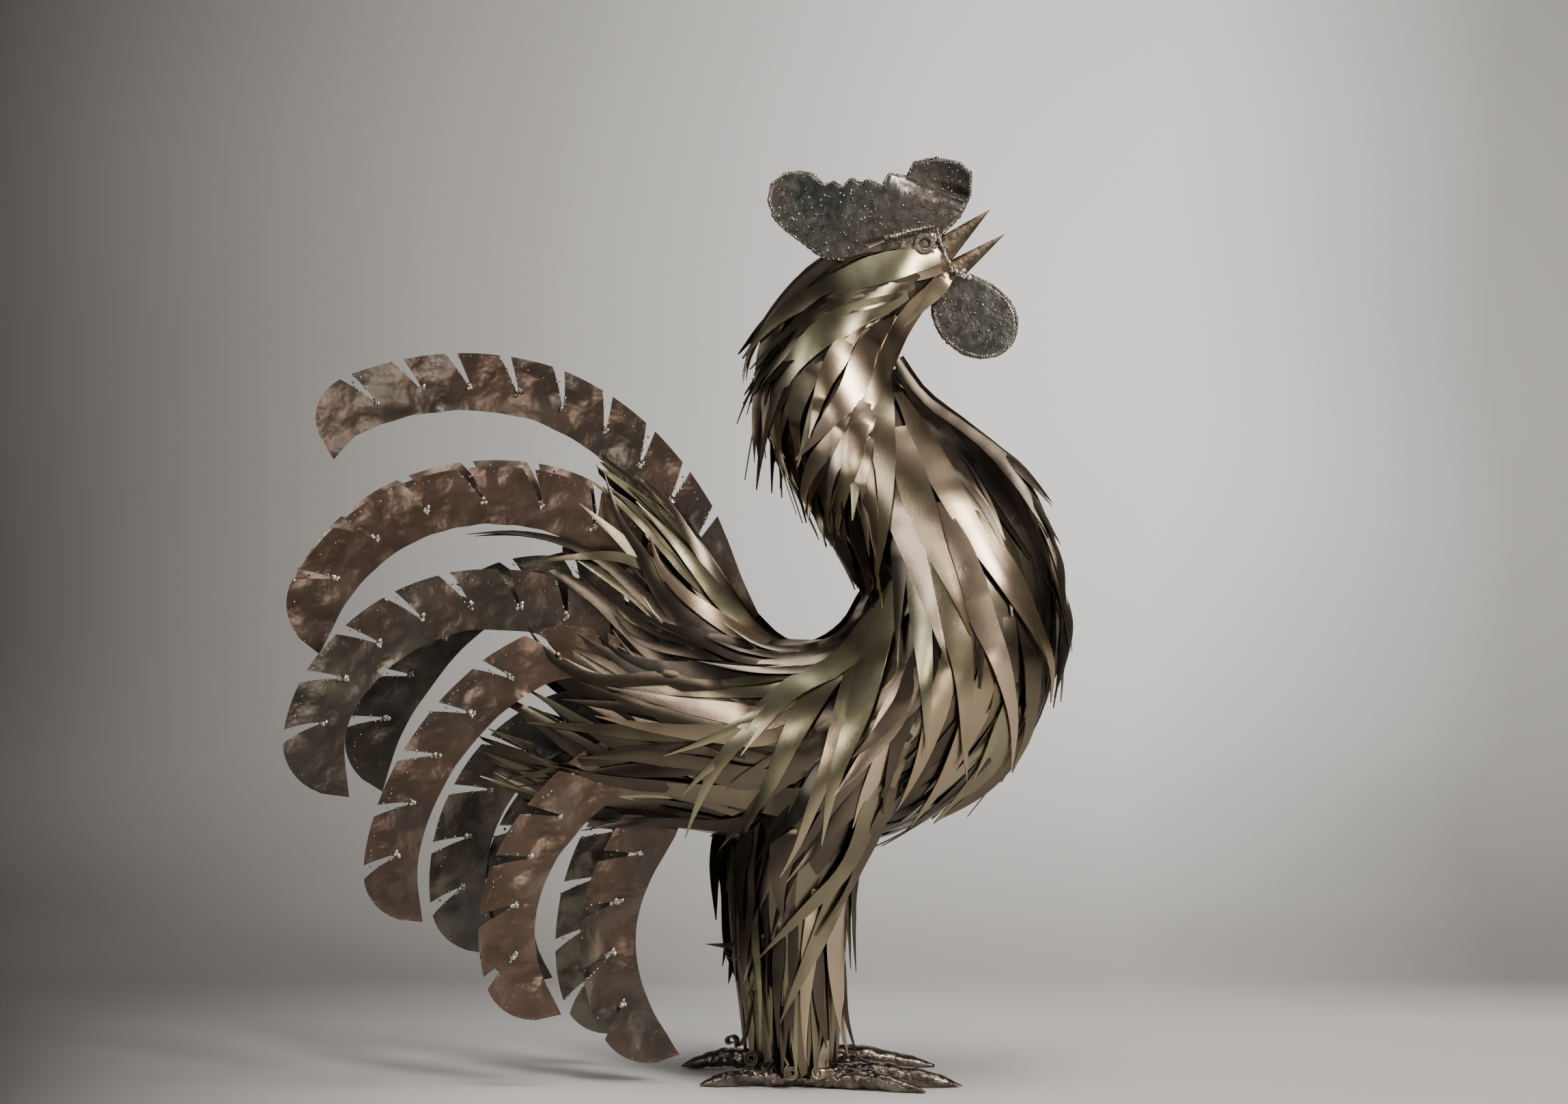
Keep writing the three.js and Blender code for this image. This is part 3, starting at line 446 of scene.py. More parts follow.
BODY_STRIPS = [
    (14, 4, SHADED_DARK, 140, 232, 90, 226, 44, 222, 2, 224, -40, 222, -84, 214),
    (25, 4, OLIVE, 160, 262, 110, 240, 70, 244, 24, 250, -28, 254, -66, 247, -104, 230),
    (23, 5, BROWN, 110, 262, 60, 262, 20, 272, -25, 282, -85, 283),
    (14, 6, SHADED_DARK, 40, 290, 0, 285, -60, 280, -150, 260),
    (13, 6, SHADED_DARK, 40, 272, 10, 270, -50, 268, -140, 255),
    (13, 8, SHADED_DARK, 30, 256, 0, 255, -60, 262, -128, 282),
    (15, 6, BROWN, 50, 298, 10, 300, -50, 302, -130, 309),
    (14, 8, SHADED_DARK, 40, 316, 0, 318, -40, 322, -100, 329),
    (14, 6, BROWN, 60, 308, 20, 310, -30, 322, -84, 344),
    (20, 8, BRONZE, 140, 330, 80, 300, 36, 300, 0, 303, -34, 308, -70, 316),
    (21, 8, COPPER, 150, 345, 80, 312, 44, 317, 10, 323, -20, 330, -60, 340),
    (21, 4, OLIVE, 185, 385, 130, 348, 87, 338, 34, 338, -18, 340, -60, 348, -104, 371),
    (20, 5, BROWN, 200, 400, 155, 366, 110, 352, 60, 346, 5, 350, -30, 362, -54, 392),
    (16, 5, BROWN, 205, 412, 162, 376, 110, 360, 55, 360, 10, 374, -18, 396, -32, 416),
    (17, 6, BROWN, 60, 340, -10, 344, -55, 344, -88, 354, -110, 369, -128, 394),
    (15, 7, SHADED_DARK, 80, 352, 30, 352, -12, 356, -44, 366, -68, 384),
    (17, 6, SHADED_DARK, 130, 378, 80, 370, 40, 366, 8, 369, -24, 374, -46, 385, -58, 402),
    (15, 7, SHADED_DARK, 70, 372, 20, 378, -12, 389, -42, 401, -58, 422),
    (16, 7, SHADED_DARK, 60, 376, 0, 384, -32, 397, -64, 418, -90, 440),
    (11, 4, SHADED_DARK, 30, 382, -10, 400, -34, 422, -66, 450, -105, 467, -145, 474, -184, 472),
    (9, 9, OLIVE, -16, 436, -50, 452, -98, 451, -132, 443),
    (18, 5, SHADED_DARK, 80, 376, 30, 385, 4, 398, -18, 425, -32, 455, -52, 486, -64, 524),
    (14, 5, SHADED_DARK, 120, 362, 90, 358, 54, 362, 20, 376, -10, 388, -30, 397),
    # Over the tail coverts the tones are darker than their tint, as painted shade.
    (19, 6, BRONZE, 108, 366, 80, 370, 50, 384, 24, 402, 0, 422, -17, 444, -26, 470),
    (21, 5, OLIVE, 112, 368, 86, 370, 62, 384, 38, 412, 14, 442, -6, 466, -38, 499),
    (15, 4, BROWN, 116, 370, 86, 374, 56, 400, 30, 438, 10, 470, -10, 502, -38, 527),
    (13, 5, SHADED_DARK, 182, 425, 158, 386, 128, 366, 94, 361, 56, 366, 22, 382),
    (9, 4, SHADED_DARK, 170, 432, 154, 396, 126, 374, 96, 368, 64, 374, 36, 392),
    (16, 5, BROWN, 196, 420, 165, 378, 134, 356, 96, 348, 58, 350, 18, 358),
    (16, 6, GREEN, 160, 372, 105, 330, 58, 309, 28, 296, -12, 284),
    (16, 7, GREEN, 180, 400, 135, 352, 95, 325, 74, 303, 56, 281),
    (11, 7, BROWN, 130, 305, 95, 285, 73, 273, 56, 264, 41, 253),
    (8, 7, OLIVE, 60, 292, 40, 280, 20, 264, 4, 249),
    (20, 4, SHADED_DARK, 160, 300, 122, 256, 103, 228, 82, 206, 70, 185),
    (17, 5, BROWN, 140, 305, 100, 270, 74, 243, 58, 222, 36, 201),
    (21, 6, BROWN, 230, 390, 205, 345, 182, 305, 159, 270, 131, 234, 109, 199, 92, 175),
    (27, 4, GREEN, 196, 425, 186, 398, 165, 351, 144, 312),
    (24, 8, OLIVE, 185, 420, 152, 365, 122, 330, 97, 290, 80, 250, 66, 218, 57, 196),
    (21, 5, COPPER, 200, 318, 187, 296, 166, 256, 150, 220),
    (24, 8, BRONZE, 190, 430, 168, 370, 149, 320, 132, 266, 118, 232, 105, 199, 92, 175),
    (29, 9, GREEN, 198, 440, 178, 378, 162, 326, 147, 289, 133, 250, 122, 205),
    (25, 9, GREEN, 222, 432, 180, 388, 137, 352, 100, 334, 68, 309, 36, 273, 18, 241, 7, 213),
    (7, 10, SHADED_DARK, 280, 545, 306, 520, 326, 497),
    (7, 8, SHADED_DARK, 300, 520, 320, 485, 333, 463),
    (12, 5, SHADED_DARK, 326, 440, 338, 395, 334, 358, 327, 331),
    (10, 5, SHADED_DARK, 318, 480, 332, 440, 335, 388),
    (9, 6, SHADED_DARK, 326, 400, 319, 355, 304, 304),
    (22, 4, BROWN, 312, 360, 300, 320, 290, 285, 262, 250, 224, 224),
    (24, 5, OLIVE, 292, 350, 278, 300, 268, 275, 246, 251, 220, 224),
    (25, 5, BRONZE, 276, 380, 264, 335, 246, 294, 222, 252, 200, 224),
    (22, 6, BROWN, 294, 440, 303, 370, 300, 308, 287, 267),
    (20, 6, BRONZE, 240, 385, 226, 325, 209, 275, 186, 236),
    (17, 6, SHADED_DARK, 214, 390, 204, 332, 191, 294, 178, 256, 174, 232),
    (26, 5, BROWN, 225, 390, 204, 333, 179, 302, 154, 276),
    (23, 5, COPPER, 215, 370, 186, 313, 160, 276, 136, 246),
    (22, 5, BRONZE, 245, 510, 262, 480, 274, 457, 293, 427, 308, 393, 319, 360, 322, 328),
    (17, 3, SHADED_DARK, 140, 530, 152, 487, 168, 442, 178, 410),
    (16, 6, BROWN, 188, 500, 196, 461, 198, 408, 196, 356),
    (23, 7, GREEN, 205, 490, 212, 440, 215, 396, 217, 351, 215, 280),
    (23, 7, BRONZE, 222, 470, 237, 405, 246, 368, 249, 330, 246, 263),
    (28, 7, COPPER, 225, 500, 246, 447, 264, 400, 278, 360, 286, 315, 287, 274),
]
LEG_STRIPS = [
    (24, 4, BROWN, 70, 235, 60, 190, 62, 150, 60, 100, 68, 70),
    (15, 4, BROWN, 74, 130, 68, 100, 62, 66),
    (17, 3, SHADED_DARK, 66, 225, 57, 180, 60, 128),
    (9, 5, SHADED_DARK, 68, 150, 66, 110, 60, 80),
    (24, 4, BROWN, 98, 225, 88, 170, 90, 138),
    (11, 3, SHADED_DARK, 90, 140, 88, 80, 91, 26),
    (9, 4, SHADED_DARK, 101, 160, 100, 85, 99, 26),
    (13, 3, SHADED_DARK, 118, 130, 122, 65, 128, 26),
    (9, 6, OLIVE, 70, 150, 73, 100, 75, 60, 77, 20),
    (15, 5, BRONZE, 122, 172, 116, 132, 111, 82, 110, 45, 111, 16),
    (22, 5, COPPER, 150, 200, 143, 160, 134, 109, 136, 60, 142, 18),
    (6, 5, SHADED_DARK, 152, 220, 146, 165, 145, 130, 146, 95),
    (6, 8, SHADED_DARK, 160, 230, 151, 170, 150, 135, 151, 92),
    (7, 8, SHADED_DARK, 143, 120, 143, 90, 147, 52, 158, 14),
    (22, 7, OLIVE, 165, 225, 137, 166, 119, 120, 104, 82, 92, 48),
    (18, 5, BROWN, 205, 300, 166, 254, 135, 221, 94, 171),
    (23, 6, OLIVE, 200, 290, 168, 240, 140, 186, 106, 146, 72, 106),
    (15, 8, BROWN, 190, 265, 158, 200, 140, 163, 118, 124),
]

GUIDE = along(STATIONS, np.linspace(0, len(STATIONS) - 1, 1000))
ROUND_TO = 0.93  # past this share of the half width a strip no longer follows the surface round
BESIDE = 1.15  # past this share there is no surface


def body_depth(x, z):
    """How far out the body's guide surface lies at a place x z, and NaN beside it."""
    back, front = GUIDE[:, :2], GUIDE[:, 2:4]
    reach = (back - front) / 2
    half = np.linalg.norm(reach, axis=1)
    run = reach / half[:, None]
    away = np.array([x, z]) - (back + front) / 2
    share = np.sum(away * run, axis=1) / half
    aside = run[:, 0] * away[:, 1] - run[:, 1] * away[:, 0]
    met = np.nonzero(np.diff(np.sign(aside)))[0]
    if len(met) == 0:
        return math.nan
    nearest = met[np.argmin(np.abs(share[met]))]
    cos = abs(share[nearest])
    if cos > BESIDE:
        return math.nan
    return GUIDE[nearest, 4] * math.sqrt(1 - min(cos, ROUND_TO) ** 2)


def leg_depth(x, z, side):
    """The same for a leg."""
    heights = [row[4] for row in LEG_STATIONS]
    if z > heights[0]:
        return math.nan
    v = np.interp(-z, [-height for height in heights], range(len(heights)))
    back, front, middle, half, _ = along(LEG_STATIONS, v)
    cos = abs((x - leg_shift(side) - (back + front) / 2) / ((back - front) / 2))
    if cos > BESIDE:
        return math.nan
    return middle + half * math.sqrt(1 - min(cos, ROUND_TO) ** 2)


def depth_at(place, side):
    """How far out the outermost guide surface lies at a place x z."""
    depths = [body_depth(*place), leg_depth(*place, side)]
    known = [depth for depth in depths if not math.isnan(depth)]
    return max(known, default=math.nan)


def softened(values):
    """A row of values, each drawn towards its neighbours."""
    padded = np.concatenate([values[:1], values, values[-1:]])
    return (padded[:-2] + 2 * padded[1:-1] + padded[2:]) / 4


def held(values):
    """A row of values with its gaps filled from the nearest known one, then smoothed."""
    values = np.array(values)
    known = np.nonzero(~np.isnan(values))[0]
    if len(known) == 0:
        return np.zeros(len(values))
    values = np.interp(np.arange(len(values)), known, values[known])
    for _ in range(4):
        values = softened(values)
    return values


def reached(gone, reach, points):
    """Where a line of points has got to at the distances gone along it."""
    return np.stack([np.interp(gone, reach, column) for column in points.T], -1)


def evenly(line, count):
    """Points at even distances along a smooth line."""
    fine = along(line, np.linspace(0, len(line) - 1, 200))
    reach = lengths(fine)
    return reached(np.linspace(0, reach[-1], count), reach, fine)


LOWEST = 3  # above the guide surface, where the rows lie
HIGHEST = 7.5
FARTHEST = 11.5  # that a tip stands off
LAYER = 1.1  # a sheet and the gap above it
OVERLAP = 0.4  # of its width, within which a strip lies on another
DRAWN_STEPS = 19  # points along a strip of the tables
DRAWN_FULL_AT = (0.3, 0.45)
OFF_X, OFF_Z = 5, 4  # how far the far side's strips may lie from the near side's lines
LEAST_REACH = 6  # to each side of a strip's line, between which its slope is taken
STEEPEST = 0.9
SLIM = 50  # where the bird is less deep than this at a root, the strip lies lower
TONE_SPREAD = 0.05


def resting(laid, flat, width):
    """How high a strip lies at each point of its line: on those laid before it."""
    height = np.full(len(flat), float(LOWEST))
    for points, half, tops in laid:
        near = np.linalg.norm(flat[:, None] - points[None], axis=2) < half[None] + width * OVERLAP
        height = np.maximum(height, np.where(near, tops[None] + LAYER, 0).max(axis=1))
    height = np.minimum(height, HIGHEST)
    for _ in range(3):
        height = np.maximum(height, softened(height))
    return height


def drawn_strips(pile, strips, side, seed, laid, back=0):
    """The strips of a table, laid on whatever guide surface lies under their lines."""
    draw = random.Random(seed)
    for width, stand, strip_tone_and_shade, *line in strips:
        flat = evenly(np.reshape(line, (-1, 2)), DRAWN_STEPS) + [back, 0]
        if side == LEFT:
            flat = flat + [draw.uniform(-OFF_X, OFF_X), draw.uniform(-OFF_Z, OFF_Z)]
        nearer = held([depth_at(p, side) for p in flat])[:, None]
        flat = SEEN_FROM + (flat - SEEN_FROM) * (1 - nearer / SEEN_AWAY)
        run = unit(np.gradient(flat, axis=0))
        beside = np.stack([run[:, 1], -run[:, 0]], -1)
        reach = max(width / 2, LEAST_REACH)
        depth = held([depth_at(p, side) for p in flat])
        t = np.linspace(0, 1, len(flat))
        low = resting(laid, flat, width)
        laid.append((flat, width / 2 * np.minimum(1, 1.5 * (1 - t)), low))
        lift = np.minimum(low * min(1, depth[0] / SLIM) + stand * t**1.5, FARTHEST)
        tilt = held([
            (depth_at(p + b * reach, side) - depth_at(p - b * reach, side)) / (2 * reach)
            for p, b in zip(flat, beside)
        ])
        tilt = np.clip(tilt, -STEEPEST, STEEPEST)
        point = np.stack([flat[:, 0], side * depth, flat[:, 1]], -1)
        edge = unit(np.stack([beside[:, 0], side * tilt, beside[:, 1]], -1))
        out = unit(np.cross(np.gradient(point, axis=0), edge))
        out = out * np.sign(out[:, 1:2] * side)
        tint = strip_tone_and_shade + draw.uniform(-TONE_SPREAD, TONE_SPREAD)
        blade(pile, point, out, width, lift, draw.uniform(*DRAWN_FULL_AT), tint, draw)


UNDER_ROWS = 3  # to a station
UNDER_COLUMNS = 20


def under_layer(pile, surface, side, start, end, inset):
    """The dark layer that shows between the strips, its near-black colour painted shade."""
    u = np.linspace(start, end, int((end - start) * UNDER_ROWS) + 1)
    angle = np.linspace(0, 360, UNDER_COLUMNS, False)
    point, out = ways(surface, *np.meshgrid(u, angle, indexing="ij"), side)
    pile.add_rings(point - out * inset, inner=True)


# Slit plates of the tail

# Each plate's width, its slits, the sideways place of its root and tip, its tone, and its middle
# line x z from root to tip. The tone is how ruddy its heat tint is, and partly painted light: the
# plates behind are darker as painted shade, and tail_upper_left paler for glints seen through slits.
TAIL_PLATES = {
    "tail_top_sickle": (
        50, 8, 0, 4, 0.52,
        60, 396, 40, 428, 19, 467, -10, 513, -44, 551, -82, 579, -126, 598, -181, 606, -236, 601,
        -290, 583, -318, 556,
    ),
    "tail_upper_right": (
        50, 6, -14, -34, 0.66,
        20, 395, -20, 440, -56, 471, -90, 493, -126, 504, -168, 506, -208, 500, -247, 484,
        -283, 456, -311, 419, -330, 380,
    ),
    "tail_upper_left": (
        48, 6, 14, 32, 0.95,
        20, 400, -22, 450, -58, 481, -94, 502, -130, 512, -172, 514, -214, 507, -254, 491,
        -291, 462, -318, 425, -334, 392,
    ),
    "tail_middle_right": (
        52, 7, -30, -62, 0.42,
        10, 350, -40, 380, -84, 401, -118, 413, -160, 417, -199, 412, -238, 396, -272, 369,
        -297, 336, -309, 297, -305, 246,
    ),
    "tail_middle_left": (
        48, 6, 30, 60, 0.12,
        10, 370, -34, 400, -66, 418, -105, 430, -148, 427, -186, 408, -218, 379, -248, 341,
        -272, 298, -287, 252,
    ),
    "tail_lower_right": (
        45, 6, -42, -70, 0.6,
        0, 330, -50, 362, -98, 372, -140, 355, -171, 330, -196, 302, -218, 268, -235, 228,
        -243, 186, -238, 140,
    ),
    "tail_lower_left": (
        50, 5, 26, 44, 0.12,
        0, 300, -50, 312, -98, 310, -131, 293, -157, 270, -176, 242, -190, 209, -196, 169,
        -193, 136, -180, 98,
    ),
    "tail_low_right": (
        48, 5, -44, -58, 0.8,
        20, 262, -20, 282, -56, 272, -84, 253, -109, 226, -128, 198, -141, 164, -145, 128, -138, 90,
        -120, 52,
    ),
    "tail_low_left": (
        46, 5, 44, 56, 0.2,
        20, 268, -20, 290, -60, 284, -92, 264, -118, 238, -138, 208, -151, 172, -155, 136,
        -148, 100, -134, 70,
    ),
    "tail_end_right": (
        48, 4, -22, -40, 0.5,
        20, 262, -10, 240, -33, 206, -50, 172, -59, 135, -57, 96, -44, 56, -18, 13,
    ),
    "tail_end_left": (
        44, 4, 24, 38, 0.2,
        10, 268, -34, 246, -62, 206, -77, 172, -85, 138, -87, 102, -80, 66, -56, 28,
    ),
}
ROOT_SHARE = 0.2  # of the length, where the plate narrows into the body
ROOT_WIDTH = 0.5
SLIT_DEPTH = 0.6  # of the plate's width
SLIT_BASE = 1 - 2 * SLIT_DEPTH  # where the slits end, across the plate
SLIT_OPENING = 9.5
SLIT_BOTTOM = 1.6
SLIT_SLANT = 16
DENTS_WIDE, DENTS_SMALL = 38, 14
DENTS_DEEP = 2
WAVER_LONG, WAVER_DEEP = 24, 1.6


class Plate:
    """A tail plate's shape, by the share of its length and the place across it, from -1 to 1."""

    def __init__(self, width, slits, root, tip, plate_tone_and_shade, *line):
        line = np.reshape(line, (-1, 2))
        samples = along(line, np.linspace(0, len(line) - 1, 400))
        self.reach = lengths(samples)
        self.length = self.reach[-1]
        self.samples, self.width, self.slits, self.plate_tone_and_shade = samples, width, slits, plate_tone_and_shade
        self.root, self.tip = root, tip
        self.start, self.way = samples[0], samples[-1] - samples[0]
        self.full_to = 1 - width / self.length
        self.pitch = (self.full_to - ROOT_SHARE) / slits

    def at(self, s, across):
        """Points of the middle surface, before dents."""
        s = np.clip(s, 0, 1)
        gone = s * self.length
        x, z = np.moveaxis(reached(gone, self.reach, self.samples), -1, 0)
        slope = np.gradient(self.samples, self.reach, axis=0)
        run = unit(reached(gone, self.reach, slope))
        spread = np.where(s < ROOT_SHARE, ROOT_WIDTH + (1 - ROOT_WIDTH) * s / ROOT_SHARE, 1)
        past = np.clip((s - self.full_to) / (1 - self.full_to), 0, 1)
        high = 2 * np.sqrt(1 - past**2) - 1
        across = -1 + (across + 1) / 2 * (high + 1)
        offset = across * self.width / 2 * spread
        x, z = x + run[..., 1] * offset, z - run[..., 0] * offset
        off_x, off_z = x - self.start[0], z - self.start[1]
        away = (off_x * self.way[0] + off_z * self.way[1]) / (self.way @ self.way)
        return np.stack([x, self.root + (self.tip - self.root) * away, z], -1)

    def slit(self, n, lean):
        """Shares of the length at a slit's two sides, lean 0 at its bottom to 1 at its mouth."""
        middle = ROOT_SHARE + n * self.pitch - SLIT_SLANT / self.length * (1 - lean)
        half = 0
        if lean > 0:
            half = (SLIT_BOTTOM + (SLIT_OPENING - SLIT_BOTTOM) * lean) / 2 / self.length
        return middle - half, middle + half


def tail_plate(name, plate, material, seed):
    """The plate as one sheet with its teeth parted by the slits, dented a little by the hammer."""
    columns, low_rows, high_rows = 9, 7, 9
    levels = [-1 + (SLIT_BASE + 1) * i / low_rows for i in range(low_rows)]
    levels += [SLIT_BASE + (1 - SLIT_BASE) * i / high_rows for i in range(high_rows + 1)]
    number, shares, quads = {}, [], []
    for n in range(plate.slits + 2):
        grid = []
        for q in levels:
            lean = max(0, (q - SLIT_BASE) / (1 - SLIT_BASE))
            ends = [
                0 if n == 0 else plate.slit(n - 1, lean)[1],
                1 if n > plate.slits else plate.slit(n, lean)[0],
            ]
            row = []
            for c in range(columns + 1):
                s = ends[0] + (ends[1] - ends[0]) * c / columns
                key = (round(s, 6), round(q, 6))
                if key not in number:
                    number[key] = len(shares)
                    shares.append((s, q))
                row.append(number[key])
            grid.append(row)
        for a, b in zip(grid, grid[1:]):
            quads += [(a[c], a[c + 1], b[c + 1], b[c]) for c in range(columns)]
    s, q = np.array(shares).T
    middle = plate.at(s, q)
    shift = Vector((seed * 7.3, 0, 0))
    free = np.clip(s * 4, 0, 1)  # the root stays true

    def dent(p):
        return noise.noise(p / DENTS_WIDE + shift) + 0.4 * noise.noise(p / DENTS_SMALL + shift)

    middle[:, 1] += np.array([dent(Vector(p)) for p in middle]) * DENTS_DEEP * free
    # The inner edge was cut by hand and wavers.
    places = [Vector((share * plate.length / WAVER_LONG, seed * 5.1, 0)) for share in s]
    middle[:, 2] += np.array([noise.noise(place) for place in places]) * WAVER_DEEP * (1 - q) / 2 * free
    half = np.array([0, TAIL_SHEET / 2, 0])
    count = len(middle)
    sides = dict.fromkeys(pair for quad in quads for pair in zip(quad, quad[1:] + quad[:1]))
    faces = quads + [tuple(i + count for i in quad[::-1]) for quad in quads]
    faces += [(b, a, a + count, b + count) for a, b in sides if (b, a) not in sides]
    texture = np.stack([q * plate.width / 2, s * plate.length], -1) / TEXTURE_UNIT
    pile = Pile()
    both = np.concatenate([middle + half, middle - half])
    pile.add(both, faces, plate.plate_tone_and_shade, np.tile(texture, (2, 1)))
    piece = pile.piece(name + "_plate", [material], [name], "tail_plates")
    bevel = piece.modifiers.new("worn_edges", "BEVEL")
    bevel.width = 0.35 * SCALE
    bevel.segments = 1
    bevel.limit_method = "ANGLE"
    bevel.angle_limit = math.radians(60)
    return piece


# Node trees


class Field:
    """A node's output that takes Python's operators."""

    def __init__(self, tree, socket):
        self.tree, self.socket = tree, socket

    def _math(self, operation, *values):
        return self.tree.node("ShaderNodeMath", {"operation": operation}, enumerate(values))

    def __add__(self, other):
        return self._math("ADD", self, other)

    def __sub__(self, other):
        return self._math("SUBTRACT", self, other)

    def __rsub__(self, other):
        return self._math("SUBTRACT", other, self)

    def __mul__(self, other):
        return self._math("MULTIPLY", self, other)

    def __truediv__(self, other):
        return self._math("DIVIDE", self, other)

    def __rtruediv__(self, other):
        return self._math("DIVIDE", other, self)

    __radd__, __rmul__ = __add__, __mul__


class Tree:
    """A node tree in the making."""

    def __init__(self, tree):
        self.tree = tree

    def node(self, kind, settings=(), sockets=(), output=0):
        """A node of any kind: its settings first, then its sockets' values or links."""
        node = self.tree.nodes.new(kind)
        for name, value in dict(settings).items():
            if name == "stops":
                spread(node.color_ramp.elements, value)
            else:
                setattr(node, name, value)
        for name, value in dict(sockets).items():
            self.feed(node.inputs[name], value)
        return Field(self, node.outputs[output]) if node.outputs else None

    def feed(self, socket, value):
        """Links a field to a socket, or sets the socket's own value."""
        if isinstance(value, Field):
            self.tree.links.new(value.socket, socket)
        else:
            socket.default_value = value


def spread(elements, stops):
    """Gives a colour ramp its stops."""
    while len(elements) < len(stops):
        elements.new(0.5)
    for element, (position, colour) in zip(elements, stops):
        element.position = position
        element.color = (*colour, 1)


# Weld: droplets and a skin of beads

OUT_OF_ROUND = (0.85, 1.2)
DROPLET_ROUNDS = 2  # 80 faces
DROPLET_INPUTS = {"Subdivisions": "NodeSocketInt", "Material": "NodeSocketMaterial"}


def droplets_tree():
    """Geometry nodes that put a droplet of radius 1 on every point, stretched as the point says."""
    group = bpy.data.node_groups.new("droplets", "GeometryNodeTree")
    group.interface.new_socket("Geometry", in_out="INPUT", socket_type="NodeSocketGeometry")
    group.interface.new_socket("Geometry", in_out="OUTPUT", socket_type="NodeSocketGeometry")
    for name, kind in DROPLET_INPUTS.items():
        group.interface.new_socket(name, in_out="INPUT", socket_type=kind)
    tree = Tree(group)
    points, rounds, material = (
        tree.node("NodeGroupInput", output=name) for name in ("Geometry", *DROPLET_INPUTS)
    )
    ball = tree.node("GeometryNodeMeshIcoSphere", {}, {"Radius": 1, "Subdivisions": rounds})
    vector = {"data_type": "FLOAT_VECTOR"}
    stretch = tree.node("GeometryNodeInputNamedAttribute", vector, {"Name": "stretch"})
    sockets = {"Points": points, "Instance": ball, "Scale": stretch}
    balls = tree.node("GeometryNodeInstanceOnPoints", {}, sockets)
    real = tree.node("GeometryNodeRealizeInstances", {}, {"Geometry": balls})
    shown = tree.node("GeometryNodeSetMaterial", {}, {"Geometry": real, "Material": material})
    tree.node("NodeGroupOutput", {}, {"Geometry": shown})
    return group


DROPLETS = droplets_tree()


class Drops:
    """Collects droplets of weld: where each lies, how it is stretched and its tint."""

    def __init__(self):
        self.middles, self.stretches, self.tints = [], [], []

    def piece(self, name, material, slot):
        """The droplets as one piece, riding on the one body."""
        mesh = bpy.data.meshes.new(name)
        mesh.from_pydata(to_frame(self.middles).tolist(), [], [])
        stretches = np.array(self.stretches, np.float32) * SCALE
        stretch = mesh.attributes.new("stretch", "FLOAT_VECTOR", "POINT")
        stretch.data.foreach_set("vector", stretches.ravel())
        tint = mesh.attributes.new("tint", "FLOAT", "POINT")
        tint.data.foreach_set("value", self.tints)
        carrier = linked(name + "_points", mesh)
        modifier = carrier.modifiers.new("droplets", "NODES")
        modifier.node_group = DROPLETS
        values = {"Subdivisions": DROPLET_ROUNDS, "Material": material}
        for item in DROPLETS.interface.items_tree:
            if item.name in values:
                modifier[item.identifier] = values[item.name]
        return placed(name, finished_mesh(carrier), sharp=180)


def drop(drops, middle, radius, draw, flat):
    """One droplet of weld, a little out of round."""
    wide, high = draw.uniform(*OUT_OF_ROUND), draw.uniform(*OUT_OF_ROUND)
    drops.stretches.append((wide * radius, flat * radius, high * radius))
    drops.middles.append(middle)
    drops.tints.append(draw.random())


def beads(point, size, depth):
    """How far a skin of weld beads stands proud at a point: overlapping round domes."""
    high = 0
    for scale, share in ((size, 1), (size * 0.45, 0.4)):
        distance = noise.voronoi(Vector(point) / scale)[0][0]
        high += share * max(0, 1 - (distance / 0.75) ** 2)
    return high * depth


def within(outline, x, z):
    """Whether a place lies inside an outline."""
    inside = False
    for (ax, az), (bx, bz) in zip(outline, outline[1:] + outline[:1]):
        if (az > z) != (bz > z) and x < (bx - ax) * (z - az) / (bz - az) + ax:
            inside = not inside
    return inside


PLATE_GRAIN = 1.5  # of the small faces that a plate is rebuilt from
BEAD_STEP = 2.3
BEAD_SIZE = (1.3, 1.9)
SPOT_SIZES = (0.5, 0.6, 0.7, 0.9, 1.3)


def skinned_plate(name, outline, thickness, bend, node, spots, seed):
    """A plate cut to an outline in x z and bent, with a bead of weld run round its edge and
    spatter thrown over both faces."""
    draw = random.Random(seed)
    shell = Pile()
    shell.add_rings([[(x, y, z) for x, z in outline] for y in (-thickness / 2, thickness / 2)])
    mesh = remeshed(shell.drawn_mesh(name), PLATE_GRAIN)
    displace(mesh, lambda p, n: p + n * (0.4 * noise.noise(p / 16) + 0.1 * noise.noise(p / 4) - 0.4))
    displace(mesh, lambda p, n: p + Vector((0, bend(p.x, p.z), 0)))
    dressed(name, mesh, COMB, [node])
    weld = Drops()
    ring = np.array(outline + outline[:1], float)
    reach = lengths(ring)
    for gone in np.arange(0, reach[-1], BEAD_STEP):
        x, z = reached(gone, reach, ring)
        radius = draw.uniform(*BEAD_SIZE)
        drop(weld, (x, bend(x, z) + draw.uniform(-0.6, 0.6), z), radius, draw, 1.05)
    low, high = ring.min(axis=0), ring.max(axis=0)
    placed_spots = 0
    while placed_spots < spots:
        x, z = draw.uniform(low[0], high[0]), draw.uniform(low[1], high[1])
        if within(outline, x, z):
            face = draw.choice((-1, 1))
            radius = draw.choice(SPOT_SIZES)
            drop(weld, (x, bend(x, z) + face * (thickness / 2 - 0.2), z), radius, draw, 0.8)
            placed_spots += 1
    weld.piece(name + "_weld", SPATTER, "comb_and_wattles")


def remeshed(mesh, voxel):
    """The mesh rebuilt from small even faces."""
    carrier = linked(mesh.name + "_raw", mesh)
    remesh = carrier.modifiers.new("even_faces", "REMESH")
    remesh.mode = "VOXEL"
    remesh.voxel_size = voxel
    remesh.use_smooth_shade = True
    return finished_mesh(carrier)


